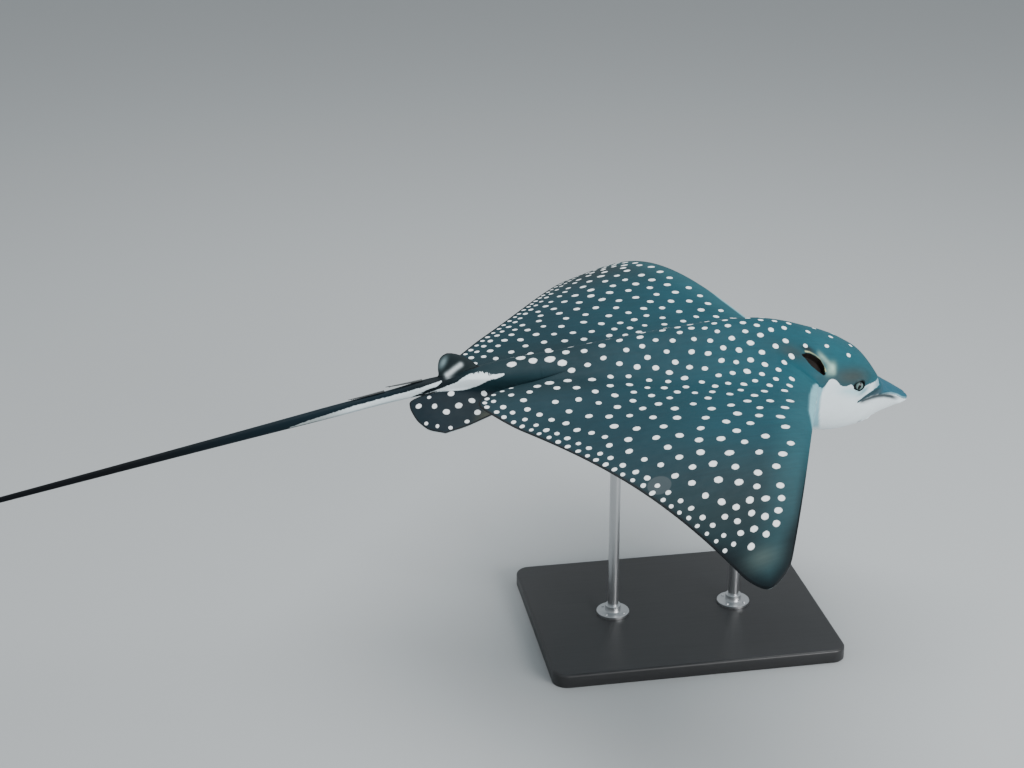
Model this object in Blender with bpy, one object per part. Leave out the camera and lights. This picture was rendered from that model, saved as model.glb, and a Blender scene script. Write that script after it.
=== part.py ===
"""Spotted eagle ray: a life-size display model, swimming, on a flat base with two rods.

The ray is laid out flat first, in its own lengths: u runs back from the tip of the bill, y to its left
and z up from the plane of the wings. The pose then arches the wings, bends the tail down and tips the
whole body a little nose down. The ray swims towards +X. The origin is on the floor under the base.
"""

import math

import bmesh
import bpy
import numpy as np

# Wings (pectoral fins), laid flat
HALF_SPAN = 0.725
ROOT_FRONT = (0.222, 0.100)
ROOT_REAR = (0.765, 0.060)
TIP_POINT = (0.495, 0.760)
FRONT_SLANT = 0.3945
REAR_LOBE_U = 0.906
REAR_LOBE_Y = 0.145
REAR_LOBE_ROUNDING = 0.035
REAR_HOLLOW = 0.035
REAR_SWAY = 0.004
ROOT_HALF_THICK = 0.036
TIP_HALF_THICK = 0.003
EDGE_HALF_THICK = 0.0009
SHOULDER_CHORD = 0.11
CLOSING_CHORDS = (0.882, 1.045)
SIDE_LEVEL_U = 0.33
TIP_ROUNDING = 0.035
REAR_LIFT = {-1: 0.020, 1: -0.010}

# The pose: how the wings droop along the span, their twist, and the bend of the tail
DROOP_RIGHT = (-0.850, 1.612, 0.137)
DROOP_LEFT = (-0.850, 1.282, 0.137)
DROOP_SPAN = 0.75
WING_TWIST = 0.376
TWIST_POWER = 1.76
TWIST_CENTRE = 0.45
TAIL_PITCH = math.radians(13.9)
TAIL_END_PITCH = math.radians(9.0)
TAIL_BEND = (0.92, 1.02)
TAIL_EASE = (1.75, 2.85)
NOSE_DOWN = math.radians(2.0)
BALANCE_U = 0.47
BODY_HEIGHT = 0.55

# Pelvic fins and the dorsal fin
PELVIC_ROOT = (0.80, 0.955)
PELVIC_LEVEL = -0.006
PELVIC_SLOPE = 0.45
PELVIC_HALF_THICK = 0.006
DORSAL_ROOT = (0.879, 0.958)
DORSAL_HEIGHT = 0.045
DORSAL_HALF_THICK = 0.0045
DORSAL_FRONT_LEAN = 0.040
DORSAL_FRONT_CURVE = 0.022
DORSAL_REAR_CURVE = 0.016

# Where the body is parted into its named lengths
BILL_CUT = 0.062
NECK_CUT = 0.265
TAIL_CUTS = (0.985, 1.20, 1.65, 2.20, 2.85)
GAP = 0.0004
RING_STEPS = 7

# Eyes
EYE_RADIUS = 0.0145
EYE_PLACE = (0.1345, 0.078, -0.005)

# Stings on top of the tail
STING_STARTS = (0.988, 1.063)
STING_LENGTH = 0.072
STING_WIDTH = 0.0065
STING_THICK = 0.0024
STING_LIFT = 0.002

# Stand
BASE_SIZE = (0.60, 0.46, 0.028)
BASE_CORNER = 0.03
ROD_RADIUS = 0.011
ROD_U = (0.34, 0.60)
ROD_DEPTH = 0.022


def profile(*knots):
    """A smooth curve through a few (place, value) pairs."""
    places, values = np.array(knots).T
    slopes = np.gradient(values, places)

    def value(u):
        u = np.clip(u, places[0], places[-1])
        i = np.clip(np.searchsorted(places, u) - 1, 0, len(places) - 2)
        step = places[i + 1] - places[i]
        t = (u - places[i]) / step
        start = (1 + 2 * t) * (1 - t) ** 2 * values[i] + t * (1 - t) ** 2 * step * slopes[i]
        end = t * t * (3 - 2 * t) * values[i + 1] + t * t * (t - 1) * step * slopes[i + 1]
        return start + end

    return value


def ease(value, start, end):
    t = np.clip((value - start) / (end - start), 0, 1)
    return t * t * (3 - 2 * t)


def soft_max(a, b, width):
    """The larger of two values, rounded off where they are within the width of each other."""
    h = np.clip(0.5 + 0.5 * (a - b) / width, 0, 1)
    return b + (a - b) * h + width * h * (1 - h)


# Body profiles along u: half width, top and underside on the centre line, and the height of the side
head_width = profile((-0.004, 0.006), (0.0, 0.014), (0.012, 0.028), (0.04, 0.047), (0.07, 0.061),
                     (0.10, 0.075), (0.14, 0.088), (0.18, 0.095), (0.222, 0.100))
rear_width = profile((0.765, 0.060), (0.80, 0.055), (0.85, 0.046), (0.90, 0.034), (0.95, 0.022),
                     (1.0, 0.0155), (1.2, 0.0120), (1.4, 0.0095), (1.7, 0.0068), (2.2, 0.0036),
                     (2.85, 0.0015))
body_top = profile((-0.004, -0.058), (0.0, -0.055), (0.02, -0.043), (0.04, -0.032), (0.056, -0.024),
                   (0.066, -0.014), (0.078, 0.006), (0.10, 0.035), (0.14, 0.063), (0.18, 0.081),
                   (0.22, 0.093), (0.26, 0.105), (0.30, 0.112), (0.38, 0.113), (0.46, 0.103),
                   (0.60, 0.083), (0.75, 0.058), (0.83, 0.045), (0.895, 0.031), (0.95, 0.018),
                   (1.0, 0.0145), (1.2, 0.0115), (1.4, 0.0092), (1.7, 0.0066), (2.2, 0.0035),
                   (2.85, 0.0014))
body_bottom = profile((-0.004, -0.062), (0.0, -0.065), (0.02, -0.070), (0.04, -0.076), (0.075, -0.090),
                      (0.10, -0.102), (0.126, -0.112), (0.16, -0.118), (0.20, -0.118), (0.30, -0.108),
                      (0.42, -0.091), (0.60, -0.069), (0.75, -0.047), (0.85, -0.033), (0.93, -0.022),
                      (1.0, -0.0145), (1.2, -0.0115), (1.4, -0.0092), (1.7, -0.0066), (2.2, -0.0035),
                      (2.85, -0.0014))
head_side = profile((-0.004, -0.0600), (0.0, -0.0595), (0.03, -0.049), (0.06, -0.034), (0.09, -0.016),
                    (0.14, -0.003), (0.18, -0.001), (0.222, 0.0))
back_bulge = profile((0.222, 0.112), (0.30, 0.135), (0.42, 0.135), (0.60, 0.103), (0.75, 0.064),
                     (0.85, 0.050))

# The pelvic fins' edges, back and out, by the fraction of the way to the outer corner
pelvic_front_u = profile((0.0, 0.80), (0.35, 0.846), (0.60, 0.886), (0.85, 0.930), (1.0, 0.962))
pelvic_front_y = profile((0.0, 0.052), (0.35, 0.083), (0.60, 0.098), (0.85, 0.1105), (1.0, 0.1145))
pelvic_rear_u = profile((0.0, 0.955), (0.12, 0.996), (0.22, 1.018), (0.35, 1.024), (0.50, 1.022),
                        (0.70, 1.013), (0.85, 0.998), (1.0, 0.966))
pelvic_rear_y = profile((0.0, 0.021), (0.12, 0.020), (0.22, 0.024), (0.35, 0.036), (0.50, 0.055),
                        (0.70, 0.080), (0.85, 0.099), (1.0, 0.1145))


def root_line(u):
    """The wing's root, a straight line seen from above."""
    t = (u - ROOT_FRONT[0]) / (ROOT_REAR[0] - ROOT_FRONT[0])
    return ROOT_FRONT[1] + (ROOT_REAR[1] - ROOT_FRONT[1]) * t


def body_half_width(u):
    middle = np.where(u > ROOT_REAR[0], rear_width(u), root_line(u))
    return np.where(u < ROOT_FRONT[0], head_width(u), middle)


def rear_lift(u, y, side):
    """How far the wing's rear lobe stands above the middle plane beside the trunk."""
    along = ease(u, 0.50, 0.78) * (1 - ease(u, 0.90, 0.95))
    inside = np.minimum(y / root_line(np.minimum(u, ROOT_REAR[0])), 1) ** 2
    return REAR_LIFT[side] * along * inside * (1 - ease(y, 0.09, 0.24))


def wing_half_thick(chord, span):
    """Half the thickness at a fraction of the chord from the front edge and a fraction of the span."""
    section = 2.6 * np.sqrt(chord) * (1 - chord)
    return (ROOT_HALF_THICK * (1 - span) ** 1.3 + TIP_HALF_THICK) * section + EDGE_HALF_THICK


def root_chord(u):
    return np.clip((u - ROOT_FRONT[0]) / (ROOT_REAR[0] - ROOT_FRONT[0]), 0, 1)


def surface(u, y, chord, span, up, side, level=1.0):
    """Height of the upper (up = 1) or lower (up = -1) surface of the trunk and wings."""
    centre = body_top(u) if up > 0 else -body_bottom(u)
    sharpness = 2.0 if up > 0 else 2.6
    bulge = level * centre * np.exp(-((y / back_bulge(u)) ** sharpness))
    wing = wing_half_thick(chord, span)
    return rear_lift(u, y, side) + up * soft_max(bulge, wing, 0.4 * (bulge + wing))


def opening(chord):
    """How far the trunk has opened into the wings at a fraction of the root: 0 is closed, 1 is open."""
    return ease(chord, 0.0, SHOULDER_CHORD) * (1 - ease(chord, *CLOSING_CHORDS))


def blend(u):
    return opening((u - ROOT_FRONT[0]) / (ROOT_REAR[0] - ROOT_FRONT[0]))


def side_edge(u, up, side):
    """Height of the trunk's upper or lower edge along the wing root, or along the head's or tail's side."""
    if u < ROOT_FRONT[0]:
        return head_side(u) + up * EDGE_HALF_THICK
    if u > ROOT_REAR[0]:
        return rear_lift(u, ROOT_REAR[1], side) + up * EDGE_HALF_THICK
    return surface(u, root_line(u), root_chord(u), 0.0, up, side, blend(u))


def half_section(u, steps, up, side):
    """The upper or lower surface on one side of the body at u, from the side to the centre line."""
    width = body_half_width(u)
    centre = body_top(u) if up > 0 else body_bottom(u)
    edge = side_edge(u, up, side)
    roundness = 2.0 if up > 0 else 2.3
    angle = np.linspace(0, math.pi / 2, steps + 1)
    oval_y = width * np.cos(angle) ** (2 / roundness)
    side_z = head_side(u) if u < ROOT_FRONT[0] else edge * ease(u, ROOT_FRONT[0], SIDE_LEVEL_U)
    oval_z = side_z + (centre - side_z) * np.sin(angle) ** (2 / roundness)
    oval_z = oval_z + (edge - side_z) * np.cos(angle) ** 10
    open_y = width * np.cos(angle)
    open_z = surface(u, open_y, root_chord(u), 0.0, up, side)
    open_z = open_z + (edge - open_z[0]) * np.cos(angle) ** 4
    y = oval_y + (open_y - oval_y) * blend(u)
    z = oval_z + (open_z - oval_z) * blend(u)
    return np.stack([np.full_like(y, u), side * y, z], 1)


def body_section(u, steps):
    """A closed ring round the body at u, as rows of (u, y, z), which goes over the top from left to right."""
    top_left = half_section(u, steps, 1, 1)
    top_right = half_section(u, steps, 1, -1)[::-1]
    under_right = half_section(u, steps, -1, -1)
    under_left = half_section(u, steps, -1, 1)[::-1]
    return np.concatenate([top_left, top_right[1:], under_right, under_left[1:]])


def front_edge(y):
    """The wing's front edge is straight from the head to the tip's rounding."""
    return ROOT_FRONT[0] + FRONT_SLANT * (y - ROOT_FRONT[1])


def rear_edge(y):
    """The rear edge is a shallow hollow curve, then turns forward round the rear lobe to the trunk."""
    t = (TIP_POINT[1] - y) / (TIP_POINT[1] - REAR_LOBE_Y)
    sweep = t - REAR_HOLLOW * np.sin(math.pi * t) + REAR_SWAY * np.sin(2 * math.pi * t)
    outer = TIP_POINT[0] + (REAR_LOBE_U - TIP_POINT[0]) * sweep
    t = np.clip((y - ROOT_REAR[1]) / (REAR_LOBE_Y - ROOT_REAR[1]), 0, 3)
    inner = ROOT_REAR[0] + (REAR_LOBE_U + 0.01 - ROOT_REAR[0]) * t**0.55
    return -soft_max(-inner, -outer, REAR_LOBE_ROUNDING)


def wing_section(span, chords, side):
    """A closed ring round one wing on the line from its front edge to its rear edge at a span fraction."""
    front_y = ROOT_FRONT[1] + (HALF_SPAN - ROOT_FRONT[1]) * span
    rear_y = ROOT_REAR[1] + (HALF_SPAN - ROOT_REAR[1]) * span
    front = front_edge(front_y)
    rear = rear_edge(rear_y)
    outside = np.clip((front_y - (HALF_SPAN - TIP_ROUNDING)) / TIP_ROUNDING, 0, 1)
    narrowing = 1 - math.sqrt(1 - outside**2)
    reach = 0.6 * narrowing + (1 - narrowing) * chords
    u = front + (rear - front) * reach
    y = front_y + (rear_y - front_y) * reach
    level = opening(chords)
    upper = surface(u, y, chords, span, 1, side, level)
    lower = surface(u, y, chords, span, -1, side, level)
    over = np.stack([u, side * y, upper], 1)
    under = np.stack([u, side * y, lower], 1)
    return np.concatenate([over, under[::-1]])


def droop_curve(droop):
    """Places along the span, the slope there, and where they come to once the wing has drooped."""
    span = np.linspace(0, 1.02, 301)
    slope = droop[0] * span + droop[1] * span**2 + droop[2] * span**3
    step = DROOP_SPAN * (span[1] - span[0])
    out = np.concatenate([[0], np.cumsum(np.cos(slope[1:] - np.diff(slope) / 2)) * step])
    down = np.concatenate([[0], np.cumsum(np.sin(slope[1:] - np.diff(slope) / 2)) * step])
    return span * DROOP_SPAN, slope, out, -down


def tail_curve():
    """Distance back, pitch, and the place of the body's long axis, which bends down into the tail."""
    u = np.linspace(-0.1, TAIL_CUTS[-1] + 0.05, 1200)
    pitch = TAIL_PITCH * ease(u, *TAIL_BEND) - (TAIL_PITCH - TAIL_END_PITCH) * ease(u, *TAIL_EASE)
    step = u[1] - u[0]
    back = u[0] + np.concatenate([[0], np.cumsum(np.cos(pitch[1:])) * step])
    down = np.concatenate([[0], np.cumsum(np.sin(pitch[1:])) * step])
    return u, pitch, back, -down


DROOPS = {-1: droop_curve(DROOP_RIGHT), 1: droop_curve(DROOP_LEFT)}
TAIL_AXIS = tail_curve()


def pose(flat):
    """World places of points laid out flat, given as rows of (u, y, z)."""
    u, y, z = np.asarray(flat, float).T
    out = np.empty_like(y)
    high = np.empty_like(z)
    for side, (span, slope, reach, level) in DROOPS.items():
        here = (y < 0) if side < 0 else (y >= 0)
        away = np.abs(y[here])
        tilt = np.interp(away, span, slope)
        out[here] = side * (np.interp(away, span, reach) + z[here] * np.sin(tilt))
        high[here] = np.interp(away, span, level) + z[here] * np.cos(tilt)
    high -= WING_TWIST * (u - TWIST_CENTRE) * (np.abs(y) / DROOP_SPAN) ** TWIST_POWER
    axis_u, pitch, back, down = TAIL_AXIS
    tilt = np.interp(u, axis_u, pitch)
    along = BALANCE_U - np.interp(u, axis_u, back) - high * np.sin(tilt)
    above = np.interp(u, axis_u, down) + high * np.cos(tilt)
    x = along * math.cos(NOSE_DOWN) + above * math.sin(NOSE_DOWN)
    height = BODY_HEIGHT - along * math.sin(NOSE_DOWN) + above * math.cos(NOSE_DOWN)
    return np.stack([x, out, height], 1)


def material(name, colour, roughness, metallic=0.0):
    made = bpy.data.materials.new(name)
    made.use_nodes = True
    shader = made.node_tree.nodes["Principled BSDF"]
    shader.inputs["Base Color"].default_value = (*colour, 1.0)
    shader.inputs["Roughness"].default_value = roughness
    shader.inputs["Metallic"].default_value = metallic
    return made


def add_object(name, mesh, finish, sharp_degrees=40):
    mesh.materials.append(finish)
    mesh.shade_smooth()
    mesh.set_sharp_from_angle(angle=math.radians(sharp_degrees))
    made = bpy.data.objects.new(name, mesh)
    bpy.context.scene.collection.objects.link(made)
    return made


def loft(name, rings, finish, posed=True):
    """One closed body through rings of points, with flat ends."""
    mesh = bpy.data.meshes.new(name)
    work = bmesh.new()
    loops = []
    for ring in rings:
        places = pose(ring) if posed else ring
        loops.append([work.verts.new(place) for place in places])
    count = len(loops[0])
    for near, far in zip(loops, loops[1:]):
        for i in range(count):
            j = (i + 1) % count
            work.faces.new((near[i], near[j], far[j], far[i]))
    work.faces.new(loops[0][::-1])
    work.faces.new(loops[-1])
    bmesh.ops.triangulate(work, faces=work.faces)
    if work.calc_volume(signed=True) < 0:
        bmesh.ops.reverse_faces(work, faces=work.faces)
    work.to_mesh(mesh)
    work.free()
    return add_object(name, mesh, finish)


def cut(target, cutter):
    """Takes the cutter's shape out of the target and keeps the cutter as a hidden guide."""
    cutter.hide_render = True
    cutter.display_type = "WIRE"
    hole = target.modifiers.new("cut_" + cutter.name, "BOOLEAN")
    hole.operation = "DIFFERENCE"
    hole.solver = "EXACT"
    hole.object = cutter


def ball(name, centre, radius, finish, segments=16):
    mesh = bpy.data.meshes.new(name)
    work = bmesh.new()
    bmesh.ops.create_uvsphere(work, u_segments=segments, v_segments=segments * 5 // 8, radius=radius)
    work.to_mesh(mesh)
    work.free()
    made = add_object(name, mesh, finish, 80)
    made.location = centre
    return made


def upright(name, centre, radius, bottom, top, finish, sides=20):
    """A vertical rod between two heights."""
    angles = np.arange(sides) * 2 * math.pi / sides
    circle = np.stack([centre[0] + radius * np.cos(angles), centre[1] + radius * np.sin(angles)], 1)
    rings = [np.column_stack([circle, np.full(sides, height)]) for height in (bottom, top)]
    return loft(name, rings, finish, posed=False)


def build_head(skin):
    """The bill and the head, up to the cut behind the spiracles."""
    bill = np.concatenate([[-0.004, 0.0, 0.006], np.linspace(0.014, BILL_CUT - GAP / 2, 5)])
    loft("rostral_lobe", [body_section(u, RING_STEPS) for u in bill], skin)
    back = np.concatenate([[BILL_CUT + GAP / 2, 0.070], np.linspace(0.080, NECK_CUT - GAP / 2, 12)])
    return loft("head", [body_section(u, RING_STEPS) for u in back], skin)


def build_eyes(head, finish):
    for name, side in (("eye_left", 1), ("eye_right", -1)):
        u, y, z = EYE_PLACE
        centre = pose([(u, side * y, z)])[0]
        ball(name, centre, EYE_RADIUS, finish)
        socket = ball("socket_" + name, centre, EYE_RADIUS + GAP, finish)
        cut(head, socket)


def build_trunk(skin):
    along_wings = np.linspace(NECK_CUT + GAP / 2, ROOT_REAR[0], 19)
    behind_wings = np.linspace(0.79, TAIL_CUTS[0] - GAP / 2, 10)
    rows = np.concatenate([along_wings, behind_wings])
    return loft("trunk", [body_section(u, RING_STEPS) for u in rows], skin)


def build_pectoral_fins(skin):
    """The wings: rings close together over the rear lobe and the rounded tip."""
    chords = (1 - np.cos(np.linspace(0, math.pi, 15))) / 2
    inner = np.linspace(0, 0.15, 6)
    outer = np.linspace(0.15, 0.955, 14)[1:]
    tip = (0.972, 0.985, 0.994, 0.999)
    for name, side in (("pectoral_fin_left", 1), ("pectoral_fin_right", -1)):
        rings = []
        for span in (*inner, *outer, *tip):
            ring = wing_section(span, chords, side)
            if span == 0:
                ring[:, 1] += side * GAP
            rings.append(ring)
        loft(name, rings, skin)


def build_pelvic_fins(skin):
    """Small rounded fins that slope down from the sides of the trunk, below the wings' rear lobes."""
    chords = (1 - np.cos(np.linspace(0, math.pi, 9))) / 2
    for name, side in (("pelvic_fin_left", 1), ("pelvic_fin_right", -1)):
        rings = []
        for span in (0, 0.06, 0.12, 0.22, 0.35, 0.50, 0.65, 0.80, 0.92, 0.985):
            u = pelvic_front_u(span) + (pelvic_rear_u(span) - pelvic_front_u(span)) * chords
            y = pelvic_front_y(span) + (pelvic_rear_y(span) - pelvic_front_y(span)) * chords
            half = PELVIC_HALF_THICK * (1 - span) * 4 * chords * (1 - chords) + EDGE_HALF_THICK
            if span == 0:
                u = PELVIC_ROOT[0] + (PELVIC_ROOT[1] - PELVIC_ROOT[0]) * chords
                y = rear_width(u) + GAP
            level = PELVIC_LEVEL - PELVIC_SLOPE * (y - rear_width(u))
            over = np.stack([u, side * y, level + half], 1)
            under = np.stack([u, side * y, level - half], 1)
            rings.append(np.concatenate([over, under[::-1]]))
        loft(name, rings, skin)


def build_dorsal_fin(skin):
    """The small rounded fin on the root of the tail."""
    chords = (1 - np.cos(np.linspace(0, math.pi, 9))) / 2
    rings = []
    for rise in np.sin(np.linspace(0, 0.97, 8) * math.pi / 2):
        lean = DORSAL_FRONT_LEAN * rise + DORSAL_FRONT_CURVE * (1 - math.sqrt(1 - rise**2))
        front = DORSAL_ROOT[0] + lean
        rear = DORSAL_ROOT[1] - DORSAL_REAR_CURVE * (1 - math.sqrt(1 - rise**4))
        u = front + (rear - front) * chords
        half = DORSAL_HALF_THICK * (1 - 0.6 * rise) * 4 * chords * (1 - chords) + EDGE_HALF_THICK
        z = body_top(u) + 2 * GAP + DORSAL_HEIGHT * rise
        left = np.stack([u, half, z], 1)
        right = np.stack([u, -half, z], 1)
        rings.append(np.concatenate([left, right[::-1]]))
    loft("dorsal_fin", rings, skin)


def build_tail(skin):
    """The whip of the tail, in four lengths."""
    names = ("tail_base", "tail_mid", "tail_rear", "tail_tip")
    angles = np.arange(12) * math.pi / 6
    for name, start, end in zip(names, TAIL_CUTS, TAIL_CUTS[1:]):
        rings = []
        for u in np.linspace(start + GAP / 2, end - GAP / 2, 9):
            y = rear_width(u) * np.cos(angles)
            z = body_top(u) * np.sin(angles)
            rings.append(np.stack([np.full_like(y, u), y, z], 1))
        loft(name, rings, skin)


def build_stings(finish):
    """Two flat, pointed stings, one behind the other on top of the tail."""
    for number, start in enumerate(STING_STARTS, 1):
        rings = []
        for t in np.linspace(0, 1, 7):
            u = start + STING_LENGTH * t
            half = STING_WIDTH / 2 * (1 - t**2.2) + 0.0005
            thick = STING_THICK * (1 - 0.6 * t)
            low = body_top(start) + GAP + STING_LIFT * t * t
            corners = ((half, 0.0), (half * 0.5, thick), (-half * 0.5, thick), (-half, 0.0))
            rings.append(np.array([(u, y, low + z) for y, z in corners]))
        loft(f"sting_{number}", rings, finish)


def build_stand(trunk, base_finish, rod_finish):
    """A flat base with rounded corners and two steel rods, which end in sockets in the belly."""
    length, width, thick = BASE_SIZE
    rings = []
    for height, inset in ((0.0, 0.0), (thick - 0.005, 0.0), (thick - 0.0015, 0.0015), (thick, 0.005)):
        ring = []
        for corner in range(4):
            turn = math.radians(90 * corner)
            x_sign = 1 if corner in (0, 3) else -1
            y_sign = 1 if corner in (0, 1) else -1
            centre_x = x_sign * (length / 2 - BASE_CORNER)
            centre_y = y_sign * (width / 2 - BASE_CORNER)
            for step in range(6):
                angle = turn + math.radians(18 * step)
                reach = BASE_CORNER - inset
                ring.append((centre_x + reach * math.cos(angle), centre_y + reach * math.sin(angle), height))
        rings.append(np.array(ring))
    loft("stand_base", rings, base_finish, posed=False)
    for name, u in zip(("stand_rod_front", "stand_rod_rear"), ROD_U):
        belly = pose([(u, 0.0, float(body_bottom(u)))])[0]
        top = belly[2] + ROD_DEPTH
        upright(name, belly[:2], ROD_RADIUS, thick + GAP, top, rod_finish)
        below = belly[2] - 0.05
        socket = upright("socket_" + name, belly[:2], ROD_RADIUS + GAP, below, top + GAP, rod_finish)
        cut(trunk, socket)


def main():
    for old in list(bpy.data.objects):
        bpy.data.objects.remove(old)
    skin = material("ray_skin", (0.045, 0.075, 0.095), 0.45)
    eye = material("ray_eye", (0.10, 0.13, 0.14), 0.08)
    sting = material("ray_sting", (0.55, 0.50, 0.38), 0.5)
    base_finish = material("stand_base_paint", (0.03, 0.03, 0.032), 0.55)
    rod_finish = material("stand_rod_steel", (0.55, 0.56, 0.58), 0.3, 1.0)
    head = build_head(skin)
    build_eyes(head, eye)
    trunk = build_trunk(skin)
    build_pectoral_fins(skin)
    build_pelvic_fins(skin)
    build_dorsal_fin(skin)
    build_tail(skin)
    build_stings(sting)
    build_stand(trunk, base_finish, rod_finish)


main()
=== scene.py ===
"""A life-size museum model of a spotted eagle ray in mid glide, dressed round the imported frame.

The sections follow the order in which the model is put together: the stand first, then the ray's body
with its fins, the carving of its head and belly, its paint, and last the eyes and stings.
"""

import math
import random

import bmesh
import bpy
import numpy as np
from mathutils import Matrix, Vector
from mathutils.bvhtree import BVHTree
from mathutils.kdtree import KDTree


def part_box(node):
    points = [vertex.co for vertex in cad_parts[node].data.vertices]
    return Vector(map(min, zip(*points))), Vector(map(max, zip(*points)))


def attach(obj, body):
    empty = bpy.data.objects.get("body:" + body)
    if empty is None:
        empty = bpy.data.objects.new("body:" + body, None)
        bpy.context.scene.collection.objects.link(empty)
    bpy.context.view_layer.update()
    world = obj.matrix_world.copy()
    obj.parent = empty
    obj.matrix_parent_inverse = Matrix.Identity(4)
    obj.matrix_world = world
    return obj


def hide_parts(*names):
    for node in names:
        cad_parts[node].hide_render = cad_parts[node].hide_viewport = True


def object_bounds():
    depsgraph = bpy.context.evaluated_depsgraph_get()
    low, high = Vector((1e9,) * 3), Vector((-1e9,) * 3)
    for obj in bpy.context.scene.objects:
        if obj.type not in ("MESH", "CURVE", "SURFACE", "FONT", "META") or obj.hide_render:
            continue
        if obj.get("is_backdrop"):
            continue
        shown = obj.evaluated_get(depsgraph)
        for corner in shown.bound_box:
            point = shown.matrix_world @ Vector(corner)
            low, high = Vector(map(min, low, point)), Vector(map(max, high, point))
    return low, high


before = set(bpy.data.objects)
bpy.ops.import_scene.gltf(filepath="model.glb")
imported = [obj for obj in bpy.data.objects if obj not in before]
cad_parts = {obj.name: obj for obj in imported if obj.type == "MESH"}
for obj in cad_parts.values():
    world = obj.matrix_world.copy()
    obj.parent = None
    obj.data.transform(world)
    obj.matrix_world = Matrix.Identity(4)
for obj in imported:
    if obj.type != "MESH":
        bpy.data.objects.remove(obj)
cad_low, cad_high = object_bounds()


# ---- Stand base ---------------------------------------------------------------------------------------
# A flat board of close-grained wood under satin black paint, with rounded corners and a routed top edge.
# It lies on the floor by its own weight and carries the two rods.
def shader_of(name):
    made = bpy.data.materials.new(name)
    made.use_nodes = True
    return made, made.node_tree, made.node_tree.nodes["Principled BSDF"]


def add_node(tree, kind, settings=None, **values):
    """A shader node with its settings, and its inputs given by name with _ for a space."""
    node = tree.nodes.new(kind)
    for key, value in (settings or {}).items():
        setattr(node, key, value)
    for key, value in values.items():
        socket = node.inputs[key.replace("_", " ")]
        if isinstance(value, bpy.types.NodeSocket):
            tree.links.new(value, socket)
        else:
            socket.default_value = value
    return node


def set_values(shader, **values):
    for key, value in values.items():
        shader.inputs[key.replace("_", " ")].default_value = value


def math_node(tree, operation, *values, clamp=False):
    node = tree.nodes.new("ShaderNodeMath")
    node.operation = operation
    node.use_clamp = clamp
    for socket, value in zip(node.inputs, values):
        if isinstance(value, bpy.types.NodeSocket):
            tree.links.new(value, socket)
        else:
            socket.default_value = value
    return node.outputs[0]


def mix_colour(tree, factor, first, second):
    """A colour between two, where each is a socket or a plain colour."""
    node = tree.nodes.new("ShaderNodeMix")
    node.data_type = "RGBA"
    for socket, value in ((node.inputs[0], factor), (node.inputs[6], first), (node.inputs[7], second)):
        if isinstance(value, bpy.types.NodeSocket):
            tree.links.new(value, socket)
        elif isinstance(value, (int, float)):
            socket.default_value = value
        else:
            socket.default_value = (*value, 1.0)
    return node.outputs[2]


def mesh_piece(name, mesh, finish):
    """A finished piece at the origin, smooth shaded, in one material."""
    mesh.name = name
    mesh.materials.clear()
    mesh.materials.append(finish)
    mesh.shade_smooth()
    made = bpy.data.objects.new(name, mesh)
    bpy.context.scene.collection.objects.link(made)
    return made


def loft_mesh(rings, close_ends=True):
    """A closed skin of quads through rings of points."""
    work = bmesh.new()
    loops = [[work.verts.new(place) for place in ring] for ring in rings]
    count = len(loops[0])
    for near, far in zip(loops, loops[1:]):
        for i in range(count):
            j = (i + 1) % count
            work.faces.new((near[i], near[j], far[j], far[i]))
    if close_ends:
        work.faces.new(loops[0][::-1])
        work.faces.new(loops[-1])
    bmesh.ops.recalc_face_normals(work, faces=work.faces)
    mesh = bpy.data.meshes.new("loft")
    work.to_mesh(mesh)
    work.free()
    return mesh


base_low, base_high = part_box("stand_base")
BASE_CORNER = 0.030
BASE_EDGE = 0.005
CORNER_STEPS = 14
EDGE_STEPS = 5


def base_ring(height, inset):
    ring = []
    for corner in range(4):
        x_sign = 1 if corner in (0, 3) else -1
        y_sign = 1 if corner in (0, 1) else -1
        centre = (x_sign * (base_high[0] - BASE_CORNER), y_sign * (base_high[1] - BASE_CORNER))
        for step in range(CORNER_STEPS + 1):
            angle = math.radians(90 * corner + 90 * step / CORNER_STEPS)
            reach = BASE_CORNER - inset
            ring.append((centre[0] + reach * math.cos(angle), centre[1] + reach * math.sin(angle), height))
    return ring


base_rings = [base_ring(base_low[2], 0.0008), base_ring(base_low[2] + 0.0008, 0.0)]
for step in range(EDGE_STEPS + 1):
    turn = math.radians(90 * step / EDGE_STEPS)
    drop = BASE_EDGE * (1 - math.sin(turn))
    base_rings.append(base_ring(base_high[2] - drop, BASE_EDGE * (1 - math.cos(turn))))
base_rings.append(base_ring(base_high[2], BASE_EDGE + 0.001))

base_paint, tree, shader = shader_of("base_satin_black")
place = add_node(tree, "ShaderNodeTexCoord").outputs["Object"]
stretched = add_node(tree, "ShaderNodeMapping", Vector=place, Scale=(2.0, 26.0, 26.0)).outputs[0]
grain = add_node(tree, "ShaderNodeTexNoise", Vector=stretched, Scale=6.0, Detail=6.0, Roughness=0.6)
speckle = add_node(tree, "ShaderNodeTexNoise", Vector=place, Scale=900.0, Detail=2.0)
tone = mix_colour(tree, grain.outputs["Fac"], (0.012, 0.012, 0.013), (0.024, 0.024, 0.025))
tree.links.new(tone, shader.inputs["Base Color"])
rough = add_node(tree, "ShaderNodeMapRange", Value=speckle.outputs["Fac"], To_Min=0.34, To_Max=0.48)
tree.links.new(rough.outputs[0], shader.inputs["Roughness"])
faint_speckle = math_node(tree, "MULTIPLY", speckle.outputs["Fac"], 0.3)
relief = math_node(tree, "ADD", grain.outputs["Fac"], faint_speckle)
bump = add_node(tree, "ShaderNodeBump", Strength=0.12, Distance=0.0006, Height=relief)
tree.links.new(bump.outputs[0], shader.inputs["Normal"])

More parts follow.
